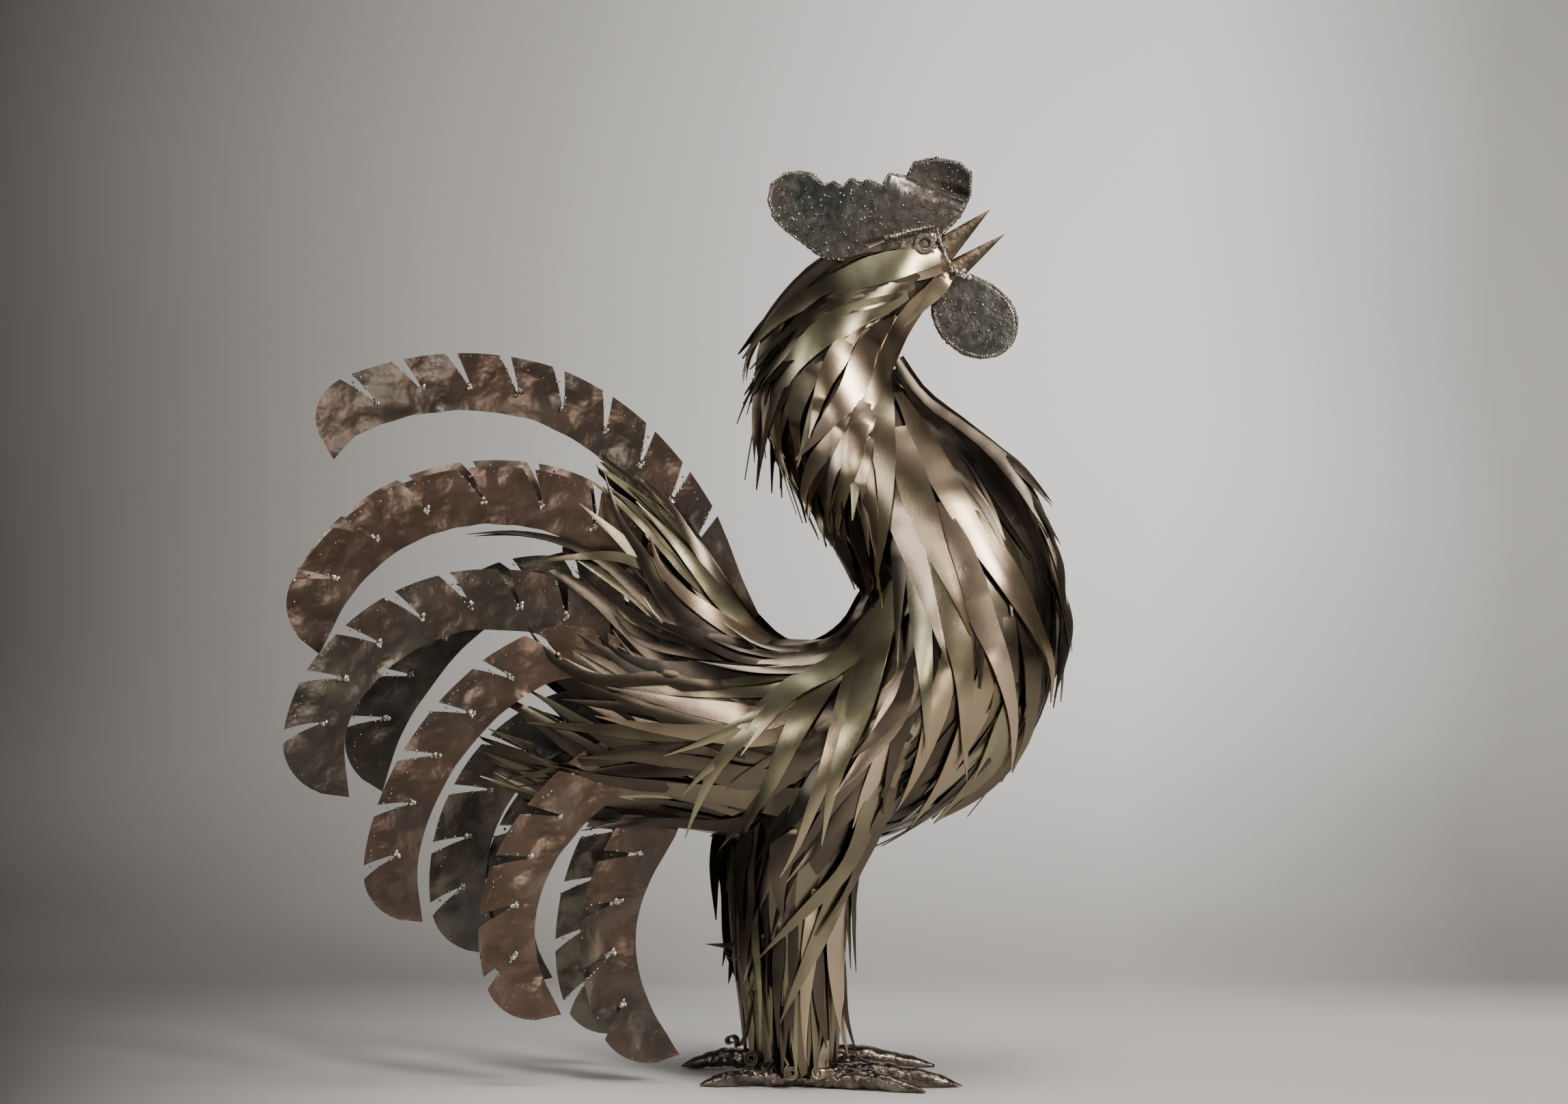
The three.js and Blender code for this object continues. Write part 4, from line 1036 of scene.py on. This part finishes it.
def displace(mesh, move):
    """Moves every point of a mesh by a function of its place and normal."""
    moved = [move(v.co.copy(), v.normal.copy()) for v in mesh.vertices]
    mesh.vertices.foreach_set("co", np.array(moved, np.float32).ravel())
    mesh.update()


def dressed(name, mesh, material, nodes):
    """A mesh in drawn millimetres as a finished piece."""
    points = np.zeros(len(mesh.vertices) * 3)
    mesh.vertices.foreach_get("co", points)
    mesh.vertices.foreach_set("co", to_frame(points.reshape(-1, 3)).ravel())
    mesh.materials.clear()
    mesh.materials.append(material)
    mesh.update()
    return placed(name, mesh, nodes, 180)


# Materials


class Paint(Tree):
    """A material in the making: its shader, textures on the object's own coordinates, ramps."""

    def __init__(self, name):
        self.material = bpy.data.materials.new(name)
        self.material.use_nodes = True
        super().__init__(self.material.node_tree)
        self.shader = self.tree.nodes["Principled BSDF"]
        self.set("Metallic", 1)

    def set(self, name, value):
        self.feed(self.shader.inputs[name], value)

    def noise(self, scale, detail=3, source="Object", stretch=None):
        place = self.node("ShaderNodeTexCoord", output=source)
        if stretch:
            place = self.node("ShaderNodeMapping", {}, {"Vector": place, "Scale": stretch})
        sockets = {"Vector": place, "Scale": scale, "Detail": detail}
        return self.node("ShaderNodeTexNoise", {}, sockets, "Fac")

    def axis(self, letter):
        """How far along an axis of the object a point lies."""
        place = self.node("ShaderNodeTexCoord", output="Object")
        return self.node("ShaderNodeSeparateXYZ", {}, {"Vector": place}, letter)

    def attribute(self, name):
        return self.node("ShaderNodeAttribute", {"attribute_name": name}, {}, "Fac")

    def ramp(self, field, stops):
        return self.node("ShaderNodeValToRGB", {"stops": stops}, {"Fac": field}, "Color")

    def mixed(self, first, second, share):
        """Two colours mixed by a field that runs from 0 to 1."""
        return self.node("ShaderNodeMix", {"data_type": "RGBA"}, {0: share, 6: first, 7: second}, 2)

    def bump(self, field, distance, strength=1):
        sockets = {"Height": field, "Distance": distance, "Strength": strength}
        self.set("Normal", self.node("ShaderNodeBump", {}, sockets, "Normal"))


def strip_steel():
    """Cold-rolled strip, heat-tinted from smoke brown through olive to bronze and pale copper; its
    near-black end is partly painted shade, for strips that stand for shaded gaps.
    """
    paint = Paint("strip_steel")
    tint = paint.attribute("tint") + (paint.noise(12, 3) - 0.5) * 0.5
    paint.set("Base Color", paint.ramp(tint, [
        (0.0, (0.055, 0.047, 0.038)),
        (0.2, (0.125, 0.1, 0.076)),
        (0.38, (0.2, 0.172, 0.115)),
        (0.56, (0.33, 0.31, 0.195)),
        (0.74, (0.36, 0.278, 0.185)),
        (0.95, (0.5, 0.385, 0.29)),
    ]))
    streaks = paint.noise(30, 3, "UV", (14, 0.5, 1))
    paint.set("Roughness", paint.noise(18, 3) * 0.2 + streaks * 0.06 + 0.13)
    # Each strip is bent a little along its length, then brushed and grained.
    bends = paint.noise(1.4, 1, "UV", (0.3, 1, 1))
    paint.bump(bends + streaks * 0.006 + paint.noise(160, 2) * 0.0035, 0.009, 0.6)
    return paint.material


def under_steel():
    """The lower layers: mottled near black, painted shade for the gaps between the strips over them."""
    paint = Paint("under_steel")
    stops = [(0.3, (0.02, 0.017, 0.014)), (0.8, (0.06, 0.05, 0.04))]
    paint.set("Base Color", paint.ramp(paint.noise(40), stops))
    paint.set("Roughness", paint.noise(60) * 0.2 + 0.45)
    return paint.material


def plate_steel():
    """Tail plate: satin dark sheet, clouded olive, blue-grey and brown by heat, ruddier on some;
    the plate's tint also holds painted shade on the plates behind and painted glints on the palest.
    """
    paint = Paint("plate_steel")
    cloud = paint.noise(16, 4)
    tint = paint.attribute("tint") * 0.55 + cloud * 0.6 - 0.06
    paint.set("Base Color", paint.ramp(tint, [
        (0.2, (0.075, 0.077, 0.077)),
        (0.34, (0.15, 0.131, 0.102)),
        (0.46, (0.105, 0.09, 0.077)),
        (0.6, (0.145, 0.1, 0.078)),
        (0.74, (0.19, 0.132, 0.102)),
        (0.9, (0.34, 0.285, 0.235)),
    ]))
    paint.set("Roughness", paint.noise(30, 4) * 0.2 + 0.22)
    dents = paint.noise(19, 1) + paint.noise(60, 2) * 0.15
    paint.bump(dents + paint.noise(260, 3) * 0.015, 0.014, 0.55)
    return paint.material


def weld_metal(name, dark, light, roughness, grain):
    """Bare weld: glossy beads with smoke in the hollows."""
    paint = Paint(name)
    paint.set("Base Color", paint.ramp(paint.noise(90, 4), [(0.35, dark), (0.68, light)]))
    paint.set("Roughness", paint.noise(300, 2) * 0.16 + roughness)
    paint.bump(paint.noise(grain, 3), 0.0009, 0.6)
    return paint.material


def comb_steel():
    """Comb and wattles: dark plate, clouded green-grey and violet-brown, pitted with spatter."""
    paint = Paint("comb_steel")
    paint.set("Base Color", paint.ramp(paint.noise(12, 2) * 0.7 + paint.noise(200, 3) * 0.3, [
        (0.36, (0.1, 0.107, 0.098)),
        (0.46, (0.17, 0.175, 0.155)),
        (0.55, (0.185, 0.155, 0.137)),
        (0.68, (0.3, 0.262, 0.23)),
    ]))
    paint.set("Roughness", paint.noise(120, 3) * 0.25 + 0.16)
    paint.bump(paint.noise(150, 3) + paint.noise(400, 2) * 0.5, 0.0008, 0.5)
    return paint.material


STRIP = strip_steel()
UNDER_PAINTED_SHADE = under_steel()
PLATE = plate_steel()
COMB = comb_steel()
WELD = weld_metal("weld_droplets", (0.2, 0.17, 0.14), (0.7, 0.63, 0.55), 0.12, 500)
SPATTER = weld_metal("spatter", (0.1, 0.09, 0.08), (0.42, 0.37, 0.32), 0.12, 700)
FOOT = weld_metal("foot_weld", (0.085, 0.07, 0.058), (0.26, 0.215, 0.18), 0.2, 260)
SPIKE = weld_metal("spike_steel", (0.11, 0.085, 0.06), (0.25, 0.19, 0.125), 0.26, 200)
NUT = weld_metal("nut_steel", (0.19, 0.17, 0.14), (0.42, 0.37, 0.31), 0.22, 400)
CURLED = weld_metal("curled_steel", (0.15, 0.12, 0.09), (0.4, 0.34, 0.25), 0.2, 150)
# Near black, for the curls at the back of the ankle and the spurs.
NEAR_BLACK_STEEL = weld_metal("smoked_steel", (0.022, 0.019, 0.015), (0.08, 0.068, 0.052), 0.28, 150)

# Coats

neck = Pile()
under_layer(neck, body_point, RIGHT, 0, NECK_END, 3)
body = Pile()
under_layer(body, body_point, RIGHT, NECK_END - 0.4, BODY_END, 3)
for side, word in SIDES:
    leg = Pile()
    under_layer(leg, leg_point, side, LEG_TOP, LEG_END, 7)
    lay_rows(leg, LEG_ROWS, leg_point, side, 301 + side)
    drawn_strips(leg, LEG_STRIPS, side, 311 + side, [], leg_shift(side))
    leg.piece("leg_coat_" + word, [STRIP, UNDER_PAINTED_SHADE], ["leg_strips_" + word], "leg_strips")
    laid = []
    lay_rows(body, BODY_ROWS, body_point, side, 201 + side)
    lay_rows(neck, NECK_ROWS, body_point, side, 101 + side)
    drawn_strips(body, BODY_STRIPS, side, 211 + side, laid)
    drawn_strips(neck, NECK_STRIPS, side, 111 + side, laid)
neck.piece("neck_coat", [STRIP, UNDER_PAINTED_SHADE], ["head_and_neck_strips"], "feather_strips")
body.piece("body_coat", [STRIP, UNDER_PAINTED_SHADE], ["body_strips"], "feather_strips")

# Tail

# How many drops of weld and how big: at a slit's bottom, on its lips and over the tooth after it.
BOTTOM_DROPS, BOTTOM_SIZE = 6, (1.7, 2.8)
LIP_DROPS, LIP_SIZE = 7, (0.9, 1.5)
TOOTH_DROPS, TOOTH_SIZE = 7, (0.6, 1.2)

tail_weld = Drops()
weld_draw = random.Random(7)
for seed, (name, values) in enumerate(TAIL_PLATES.items()):
    plate = Plate(*values)
    tail_plate(name, plate, PLATE, seed)
    for n in range(plate.slits + 1):
        bottom = plate.slit(n, 0)[0]
        for _ in range(BOTTOM_DROPS):
            s = bottom + weld_draw.uniform(-2.2, 2.2) / plate.length
            q = SLIT_BASE - weld_draw.uniform(-0.14, 0.1)
            drop(tail_weld, plate.at(s, q), weld_draw.uniform(*BOTTOM_SIZE), weld_draw, 1.1)
        for _ in range(LIP_DROPS):
            lean = weld_draw.random() ** 1.6
            lip = weld_draw.choice((0, 1, 1))
            s = plate.slit(n, lean)[lip] + (0.7 if lip else -0.7) / plate.length
            q = SLIT_BASE + (1 - SLIT_BASE) * lean
            drop(tail_weld, plate.at(s, q), weld_draw.uniform(*LIP_SIZE), weld_draw, 1.6)
        arc = weld_draw.uniform(0.4, 0.75)
        for i in range(TOOTH_DROPS):
            share = 0.06 + 0.12 * i + weld_draw.uniform(-0.04, 0.04)
            s = plate.slit(n, 1)[1] + share * plate.pitch
            q = arc + 0.25 * math.sin(3 * share) + weld_draw.uniform(-0.06, 0.06)
            drop(tail_weld, plate.at(s, min(q, 0.96)), weld_draw.uniform(*TOOTH_SIZE), weld_draw, 2.2)
tail_weld.piece("tail_weld", WELD, "tail_plates")

# Comb and wattles

COMB_OUTLINE = [
    (203, 722), (176, 716), (150, 711), (128, 713), (112, 725), (94, 738), (83, 750), (79, 765),
    (82, 778), (93, 787), (106, 789), (118, 786), (127, 777), (135, 780), (144, 775), (150, 783),
    (160, 778), (166, 782), (178, 776), (184, 787), (200, 785), (206, 797), (224, 800), (244, 795),
    (254, 786), (254, 768), (245, 750), (233, 738), (224, 728),
]
COMB_FOLD = (206, 770)
COMB_CURL = 16
COMB_CREASE = (190, 786)


def comb_bend(x, z):
    """The curl of the front lobe, with the crease that runs across it."""
    past = max(0, (x - COMB_FOLD[0]) * 0.8 + (z - COMB_FOLD[1]) * 0.6) / 50
    along_crease, over = x - COMB_CREASE[0], z - COMB_CREASE[1]
    above = along_crease * 0.34 + over * 0.94
    crease = math.exp(-((above / 8) ** 2)) / (1 + math.exp(-along_crease / 5))
    return (4 + 0.05 * along_crease) * crease - COMB_CURL * past**2


skinned_plate("comb_plate", COMB_OUTLINE, COMB_SHEET, comb_bend, "comb", 560, 3)

WATTLE_MIDDLE = (258, 663)
WATTLE_WIDTH = 71
WATTLE_DROP = 71
WATTLE_LEAN = 0.1
WATTLES_APART = 2
WATTLE_CORNERS = 36


def wattle_outline():
    for i in range(WATTLE_CORNERS):
        turn = 2 * math.pi * i / WATTLE_CORNERS
        pinch = 1 - 0.3 * max(0, math.sin(turn)) ** 3
        x = WATTLE_MIDDLE[0] + WATTLE_WIDTH / 2 * math.cos(turn) * pinch - 8 * math.sin(turn)
        yield x, WATTLE_MIDDLE[1] + WATTLE_DROP / 2 * math.sin(turn)


for side, word in SIDES:
    top = WATTLE_MIDDLE[1] + WATTLE_DROP / 2
    inner = (COMB_SHEET + WATTLES_APART) / 2
    skinned_plate(
        "wattle_plate_" + word, list(wattle_outline()), COMB_SHEET,
        lambda x, z: side * (inner + WATTLE_LEAN * (top - z)), "wattle_" + word, 290, 5 + side,
    )

# Feet

ANKLE = (108, 50)
TOES = [(138, 8, 5, 1), (104, 42, 4, 0.9), (98, -28, 4, 0.9), (-88, 4, 4, 0.9)]
TOE_THICKNESS = 19
CLAW_THICKNESS = 2.4
# Places along a toe, from behind the ankle to the claw, and how thick it is there.
TOE_PLACES = (-0.08, 0.22, 0.52, 0.84, 1)
TOE_FULLNESS = (0.9, 1, 0.88, 0.6)
TOE_SIDES = 14
FOOT_GRAIN = 1.3
FOOT_BEAD = 8
FOOT_BEAD_HIGH = 2.6
FOOT_SMOOTH_AT = 115  # from the ankle, where the beads have run out


def foot(side, word):
    """Toes of rod built up with weld, fused at the ankle and drawn out to claws."""
    pile = Pile()
    start = np.array([ANKLE[0] + leg_shift(side), side * ANKLE[1], 0])
    for reach_x, reach_y, arch, size in TOES:
        end = start + [reach_x, side * reach_y, 0]
        run = unit(end - start)
        across = np.array([-run[1], run[0], 0])
        rings = []
        thick = TOE_THICKNESS * size
        fulls = [thick * full for full in TOE_FULLNESS] + [CLAW_THICKNESS]
        for share in np.linspace(TOE_PLACES[0], 1, 22):
            full = np.interp(share, TOE_PLACES, fulls)
            lift = np.interp(share, TOE_PLACES, [0, 0, arch, 0, 0])
            turn = np.linspace(0, 2 * math.pi, TOE_SIDES, False)
            high = np.maximum(0.6, full * (0.42 + 0.58 * np.sin(turn)) + lift)
            middle = start + (end - start) * share
            beside = across * (0.58 * full * np.cos(turn))[:, None]
            rings.append(middle + beside + np.array([0, 0, 1]) * high[:, None])
        pile.add_rings(rings)
    mesh = remeshed(pile.drawn_mesh("foot"), FOOT_GRAIN)

    def lumps(p, n):
        reach = (p - Vector(start)).length
        depth = FOOT_BEAD_HIGH * max(0.12, 1 - reach / FOOT_SMOOTH_AT)
        moved = p + n * (beads(p, FOOT_BEAD, depth) + 1.4 * noise.noise(p / 16) - depth * 0.75)
        moved.z = max(moved.z, 0)
        return moved

    displace(mesh, lumps)
    dressed("foot_weld_" + word, mesh, FOOT, ["foot_" + word])


for side, word in SIDES:
    foot(side, word)

# Beak, eyes and the weld of the face

# Root x z, slope in degrees, length, width and height.
BEAKS = {
    "upper_beak": ((229, 719), 41, 56, 20, 24),
    "lower_beak": ((234, 698), 36, 62, 18, 22),
}
# Across and up, in shares of the width and height.
BEAK_SECTION = np.array([
    (0, 0.5), (0.34, 0.2), (0.5, -0.2), (0.3, -0.42),
    (0, -0.5), (-0.3, -0.42), (-0.5, -0.2), (-0.34, 0.2),
])


def beak(name, root, slope, length, width, height):
    """A spike folded from plate, with a ridge on top."""
    run = np.array([math.cos(math.radians(slope)), 0, math.sin(math.radians(slope))])
    up = np.array([-run[2], 0, run[0]])
    rings = []
    for share in np.linspace(0, 1, 12):
        size = max(0.03, (1 - share) ** 0.92)
        middle = np.array([root[0], 0, root[1]]) + run * length * share
        across = np.outer(BEAK_SECTION[:, 0] * width * size, [0, 1, 0])
        rings.append(middle + across + np.outer(BEAK_SECTION[:, 1] * height * size, up))
    pile = Pile()
    pile.add_rings(rings)
    pile.piece(name + "_spike", [SPIKE], [name], "beak", 40)


for name, values in BEAKS.items():
    beak(name, *values)

NUT_ACROSS_FLATS = 17
NUT_HEIGHT = 8
NUT_BORE = 8.5
NUT_SEAT = 19  # from the middle of the head
NUT_CORNERS = 60
EYE = (DRAWN_EYE_X, 724.5)


def eye_nut(side, word):
    """A hexagon nut with chamfered corners, run onto a stud that ends inside its bore."""
    turns = np.linspace(0, 2 * math.pi, NUT_CORNERS, False)
    hexagon = NUT_ACROSS_FLATS / 2 / np.cos(turns % (math.pi / 3) - math.pi / 6)
    chamfer = np.minimum(hexagon, NUT_ACROSS_FLATS / 2 * 1.02)
    bore = np.full(NUT_CORNERS, NUT_BORE / 2)
    profile = [
        (bore * 0.3, 4.4), (bore * 0.72, 4.2), (bore * 0.8, 3.4), (bore, 3.2), (bore, NUT_HEIGHT - 0.8),
        (bore + 0.8, NUT_HEIGHT), (chamfer, NUT_HEIGHT), (hexagon, NUT_HEIGHT - 1.3), (hexagon, 0),
    ]
    rings = [
        np.stack([EYE[0] + radius * np.cos(turns), side * (NUT_SEAT + out + 0 * turns),
                  EYE[1] + radius * np.sin(turns)], -1)
        for radius, out in profile
    ]
    pile = Pile()
    pile.add_rings(rings)
    pile.piece("eye_" + word, [NUT], ["eye_nut_" + word], "eye_nuts", 30)


for side, word in SIDES:
    eye_nut(side, word)


def weld_run(drops, line, radius, draw):
    """A run of weld along a line x y z: droplets that overlap."""
    line = np.array(line, float)
    reach = lengths(line)
    for gone in np.arange(0, reach[-1], radius * 0.9):
        middle = [at + draw.uniform(-0.3, 0.3) * radius for at in reached(gone, reach, line)]
        drop(drops, middle, radius * draw.uniform(0.75, 1.25), draw, 0.9)


def face_plate(side, word):
    """The cheek: a bent plate over the roots of the head's strips, its front edge at the beak."""
    top = [(190, 722), (207, 732), (226, 734)]
    bottom = [(184, 690), (212, 693), (237, 702)]
    rows, columns = 9, 7
    upper, lower = evenly(top, rows), evenly(bottom, rows)
    share = np.linspace(0, 1, columns)[None, :, None]
    flat = upper[:, None] * (1 - share) + lower[:, None] * share
    depth = held([depth_at(place, side) for place in flat.reshape(-1, 2)]).reshape(rows, columns)
    low = np.linspace(2.6, 3.4, rows)[:, None] + 0.5 * np.sin(math.pi * share[..., 0])
    sheet = np.stack([flat[..., 0], side * (np.minimum(depth, 23) + low), flat[..., 1]], -1)
    out = np.zeros((rows, columns, 3)) + [0, side, 0]
    pile = Pile()
    pile.add_sheet(sheet, out, STRIP_SHEET, 0.86, (flat / TEXTURE_UNIT).reshape(-1, 2))
    pile.piece("face_" + word, [STRIP], slot="feather_strips")


for side, word in SIDES:
    face_plate(side, word)

# Runs of weld on each side of the face: size and line x y z.
FACE_WELDS = [
    (1.7, [(184, 11, 731), (206, 12, 737), (222, 11, 740)]),
    (1.9, [(225, 16, 736), (230, 20, 720), (238, 19, 701)]),
    (1.9, [(205, 21, 716), (213, 21, 714), (222, 20, 718)]),
    (2.2, [(222, 18, 722), (223, 16, 732)]),
    (2.4, [(236, 9, 704), (246, 7, 700), (250, 5, 703)]),
    (2.6, [(242, 7, 699), (254, 5, 697)]),
]

face_weld = Drops()
face_draw = random.Random(17)
for side, _ in SIDES:
    for radius, line in FACE_WELDS:
        weld_run(face_weld, np.array(line) * [1, side, 1], radius, face_draw)
face_weld.piece("face_weld", WELD, "beak")

# Offcuts curled up at the near ankle

CURL_SHEET = 1.7
# Middle x y z, radius, turns, width, degrees that its axis is turned, the stem that it hangs by, x z,
# and its metal.
CURLS = {
    "ankle_curl_back": ((47, -66, 41), 6.6, 1, 9, 20, [(54, 36), (59, 47), (62, 60), (66, 84)], NEAR_BLACK_STEEL),
    "ankle_curl_low": ((66, -70, 27), 7.6, 2.1, 10, 35, [(70, 17), (78, 18), (84, 26)], NEAR_BLACK_STEEL),
    "foot_curl": ((101, -70, 15), 7.4, 2.4, 10, 30, [(96, 24), (92, 34), (93, 46)], CURLED),
    "foot_tube": ((126, -70, 14), 6.6, 1.6, 12, 62, [(122, 22), (126, 30), (128, 42)], CURLED),
}


def curl(name, middle, radius, turns, width, turned, stem, metal):
    """A thin strip end wound up into a spiral, with the stem that it hangs by."""
    x, y, z = middle
    turned = math.radians(turned)
    first = math.atan2(stem[0][1] - z, stem[0][0] - x)
    line = []
    for share in np.linspace(1, 0, 44):
        turn = first + 2 * math.pi * turns * (1 - share)
        reach = radius * (0.32 + 0.68 * share)
        line.append((x + reach * math.cos(turn), z + reach * math.sin(turn)))
    line = np.concatenate([along(stem[::-1], np.linspace(0, len(stem) - 1, 12))[:-1], line])
    run = unit(np.gradient(line, axis=0))
    out = np.stack([run[:, 1], 0 * run[:, 0], -run[:, 0]], -1)
    middle_line = np.stack([line[:, 0], np.full(len(line), y), line[:, 1]], -1)
    wide = np.interp(np.arange(len(line)), [0, 10, len(line)], [0.35, 1, 0.8])
    across = np.linspace(-1, 1, 4)[None, :] * wide[:, None] * width / 2
    axis = np.array([math.sin(turned), math.cos(turned), 0])
    middle_line[:, 0] = x + (middle_line[:, 0] - x) * math.cos(turned / 2)
    top = middle_line[:, None] + across[..., None] * axis
    pile = Pile()
    pile.add_sheet(top, out[:, None], CURL_SHEET, 0.5, sheet_texture(across, middle_line))
    pile.piece(name + "_spiral", [metal], [name], "offcuts", 40)


for name, values in CURLS.items():
    curl(name, *values)

# The spurs keep their own mesh.
for word in ("right", "left"):
    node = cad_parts["spur_" + word]
    node.data.materials.clear()
    node.data.materials.append(NEAR_BLACK_STEEL)

# Stage, light and camera


def backdrop_material():
    """A pale floor that runs up into a grey wall, with painted light: brighter behind the bird, and
    painted shade darkening it towards its sides.
    """
    paint = Paint("backdrop")
    paint.set("Metallic", 0)
    paint.set("Roughness", 0.7)
    # Painted light: the ramps below are bright behind the bird and dark at its sides, softly blotched.
    aside = (paint.axis("X") + (paint.noise(0.5, 1) - 0.5) * 0.5) / (paint.axis("Y") + 3)
    wall = paint.ramp(aside * 2 + 0.5, [
        (0.04, (0.058, 0.054, 0.048)),
        (0.16, (0.15, 0.142, 0.132)),
        (0.36, (0.29, 0.278, 0.265)),
        (0.6, (0.5, 0.485, 0.47)),
        (0.74, (0.54, 0.525, 0.51)),
        (0.95, (0.25, 0.24, 0.232)),
    ])
    floor = paint.ramp(aside * 2 + 0.5, [
        (0.1, (0.09, 0.087, 0.082)),
        (0.44, (0.73, 0.715, 0.7)),
        (0.9, (0.66, 0.645, 0.63)),
    ])
    # In front of the bird the floor is plain.
    plain = paint.ramp(paint.noise(0.8, 1), [(0.3, (0.36, 0.352, 0.342)), (0.7, (0.4, 0.392, 0.382))])
    floor = paint.mixed(plain, floor, paint.axis("Y") + 2.5)
    paint.set("Base Color", paint.mixed(floor, wall, paint.axis("Y") * 3 - 1.05))
    return paint.material


WALL_AT = 5.8
WALL_TOP = 4.5
COVE = 4.2
STAGE_HALF = 11


def backdrop():
    """One sweep of floor, cove and wall."""
    profile = [(-STAGE_HALF, 0), (-3, 0), (0, 0)]
    for step in range(13):
        turn = math.pi / 2 * step / 12
        profile.append((WALL_AT - COVE + COVE * math.sin(turn), COVE - COVE * math.cos(turn)))
    profile.append((WALL_AT, WALL_TOP))
    points = [(x, y, z) for y, z in profile for x in (-STAGE_HALF, STAGE_HALF)]
    faces = [(2 * i, 2 * i + 1, 2 * i + 3, 2 * i + 2) for i in range(len(profile) - 1)]
    mesh = bpy.data.meshes.new("backdrop")
    mesh.from_pydata(points, [], faces)
    mesh.materials.append(backdrop_material())
    mesh.polygons.foreach_set("use_smooth", [True] * len(faces))
    linked("backdrop", mesh)


backdrop()


def softbox(name, place, target, size, power, colour):
    light = bpy.data.lights.new(name, "AREA")
    light.shape = "RECTANGLE"
    light.size, light.size_y = size
    light.energy = power
    light.color = colour
    lamp = linked(name, light)
    lamp.location = place
    lamp.rotation_euler = (Vector(target) - Vector(place)).to_track_quat("-Z", "Y").to_euler()


softbox("key", (1.5, -1.9, 1.7), (0.05, 0, 0.45), (0.6, 1.0), 60, (1, 0.95, 0.87))
softbox("fill", (-1.9, -2.3, 1.3), (0, 0, 0.4), (0.8, 1.2), 15, (0.97, 0.98, 1))
softbox("top", (0.3, -0.3, 2.3), (0, 0, 0), (1.0, 0.8), 24, (1, 0.97, 0.93))
softbox("low", (0.95, -2.1, 0.14), (0.1, 0, 0.12), (0.4, 0.16), 2.5, (1, 0.9, 0.76))
softbox("front", (-0.8, -2.6, 1.05), (0, 0, 0.35), (0.4, 0.4), 8, (1, 0.93, 0.83))
softbox("wall_light", (0.9, 2.5, 2.9), (0.7, 5.4, 0.3), (2.2, 1.0), 150, (1, 0.99, 0.97))


def room():
    """The dim room round the stage, softly uneven as a real one is."""
    world = bpy.data.worlds.new("room")
    world.use_nodes = True
    tree = Tree(world.node_tree)
    place = tree.node("ShaderNodeTexCoord", output="Generated")
    sockets = {"Vector": place, "Scale": 2.2, "Detail": 1}
    patches = tree.node("ShaderNodeTexNoise", {}, sockets, "Fac")
    stops = [(at, (shade, shade * 0.97, shade * 0.94)) for at, shade in ((0.42, 0.12), (0.6, 1.1))]
    shades = tree.node("ShaderNodeValToRGB", {"stops": stops}, {"Fac": patches}, "Color")
    background = world.node_tree.nodes["Background"]
    tree.feed(background.inputs["Color"], shades)
    tree.feed(background.inputs["Strength"], 0.16)
    bpy.context.scene.world = world


room()

LENS = 79.06

camera = linked("camera", bpy.data.cameras.new("camera"))
camera.data.lens = LENS
camera.location = ((SEEN_FROM[0] + SHIFT_X) * SCALE, -SEEN_AWAY * SCALE, SEEN_FROM[1] * SCALE)
camera.rotation_euler = (math.pi / 2, 0, 0)
bpy.context.scene.camera = camera
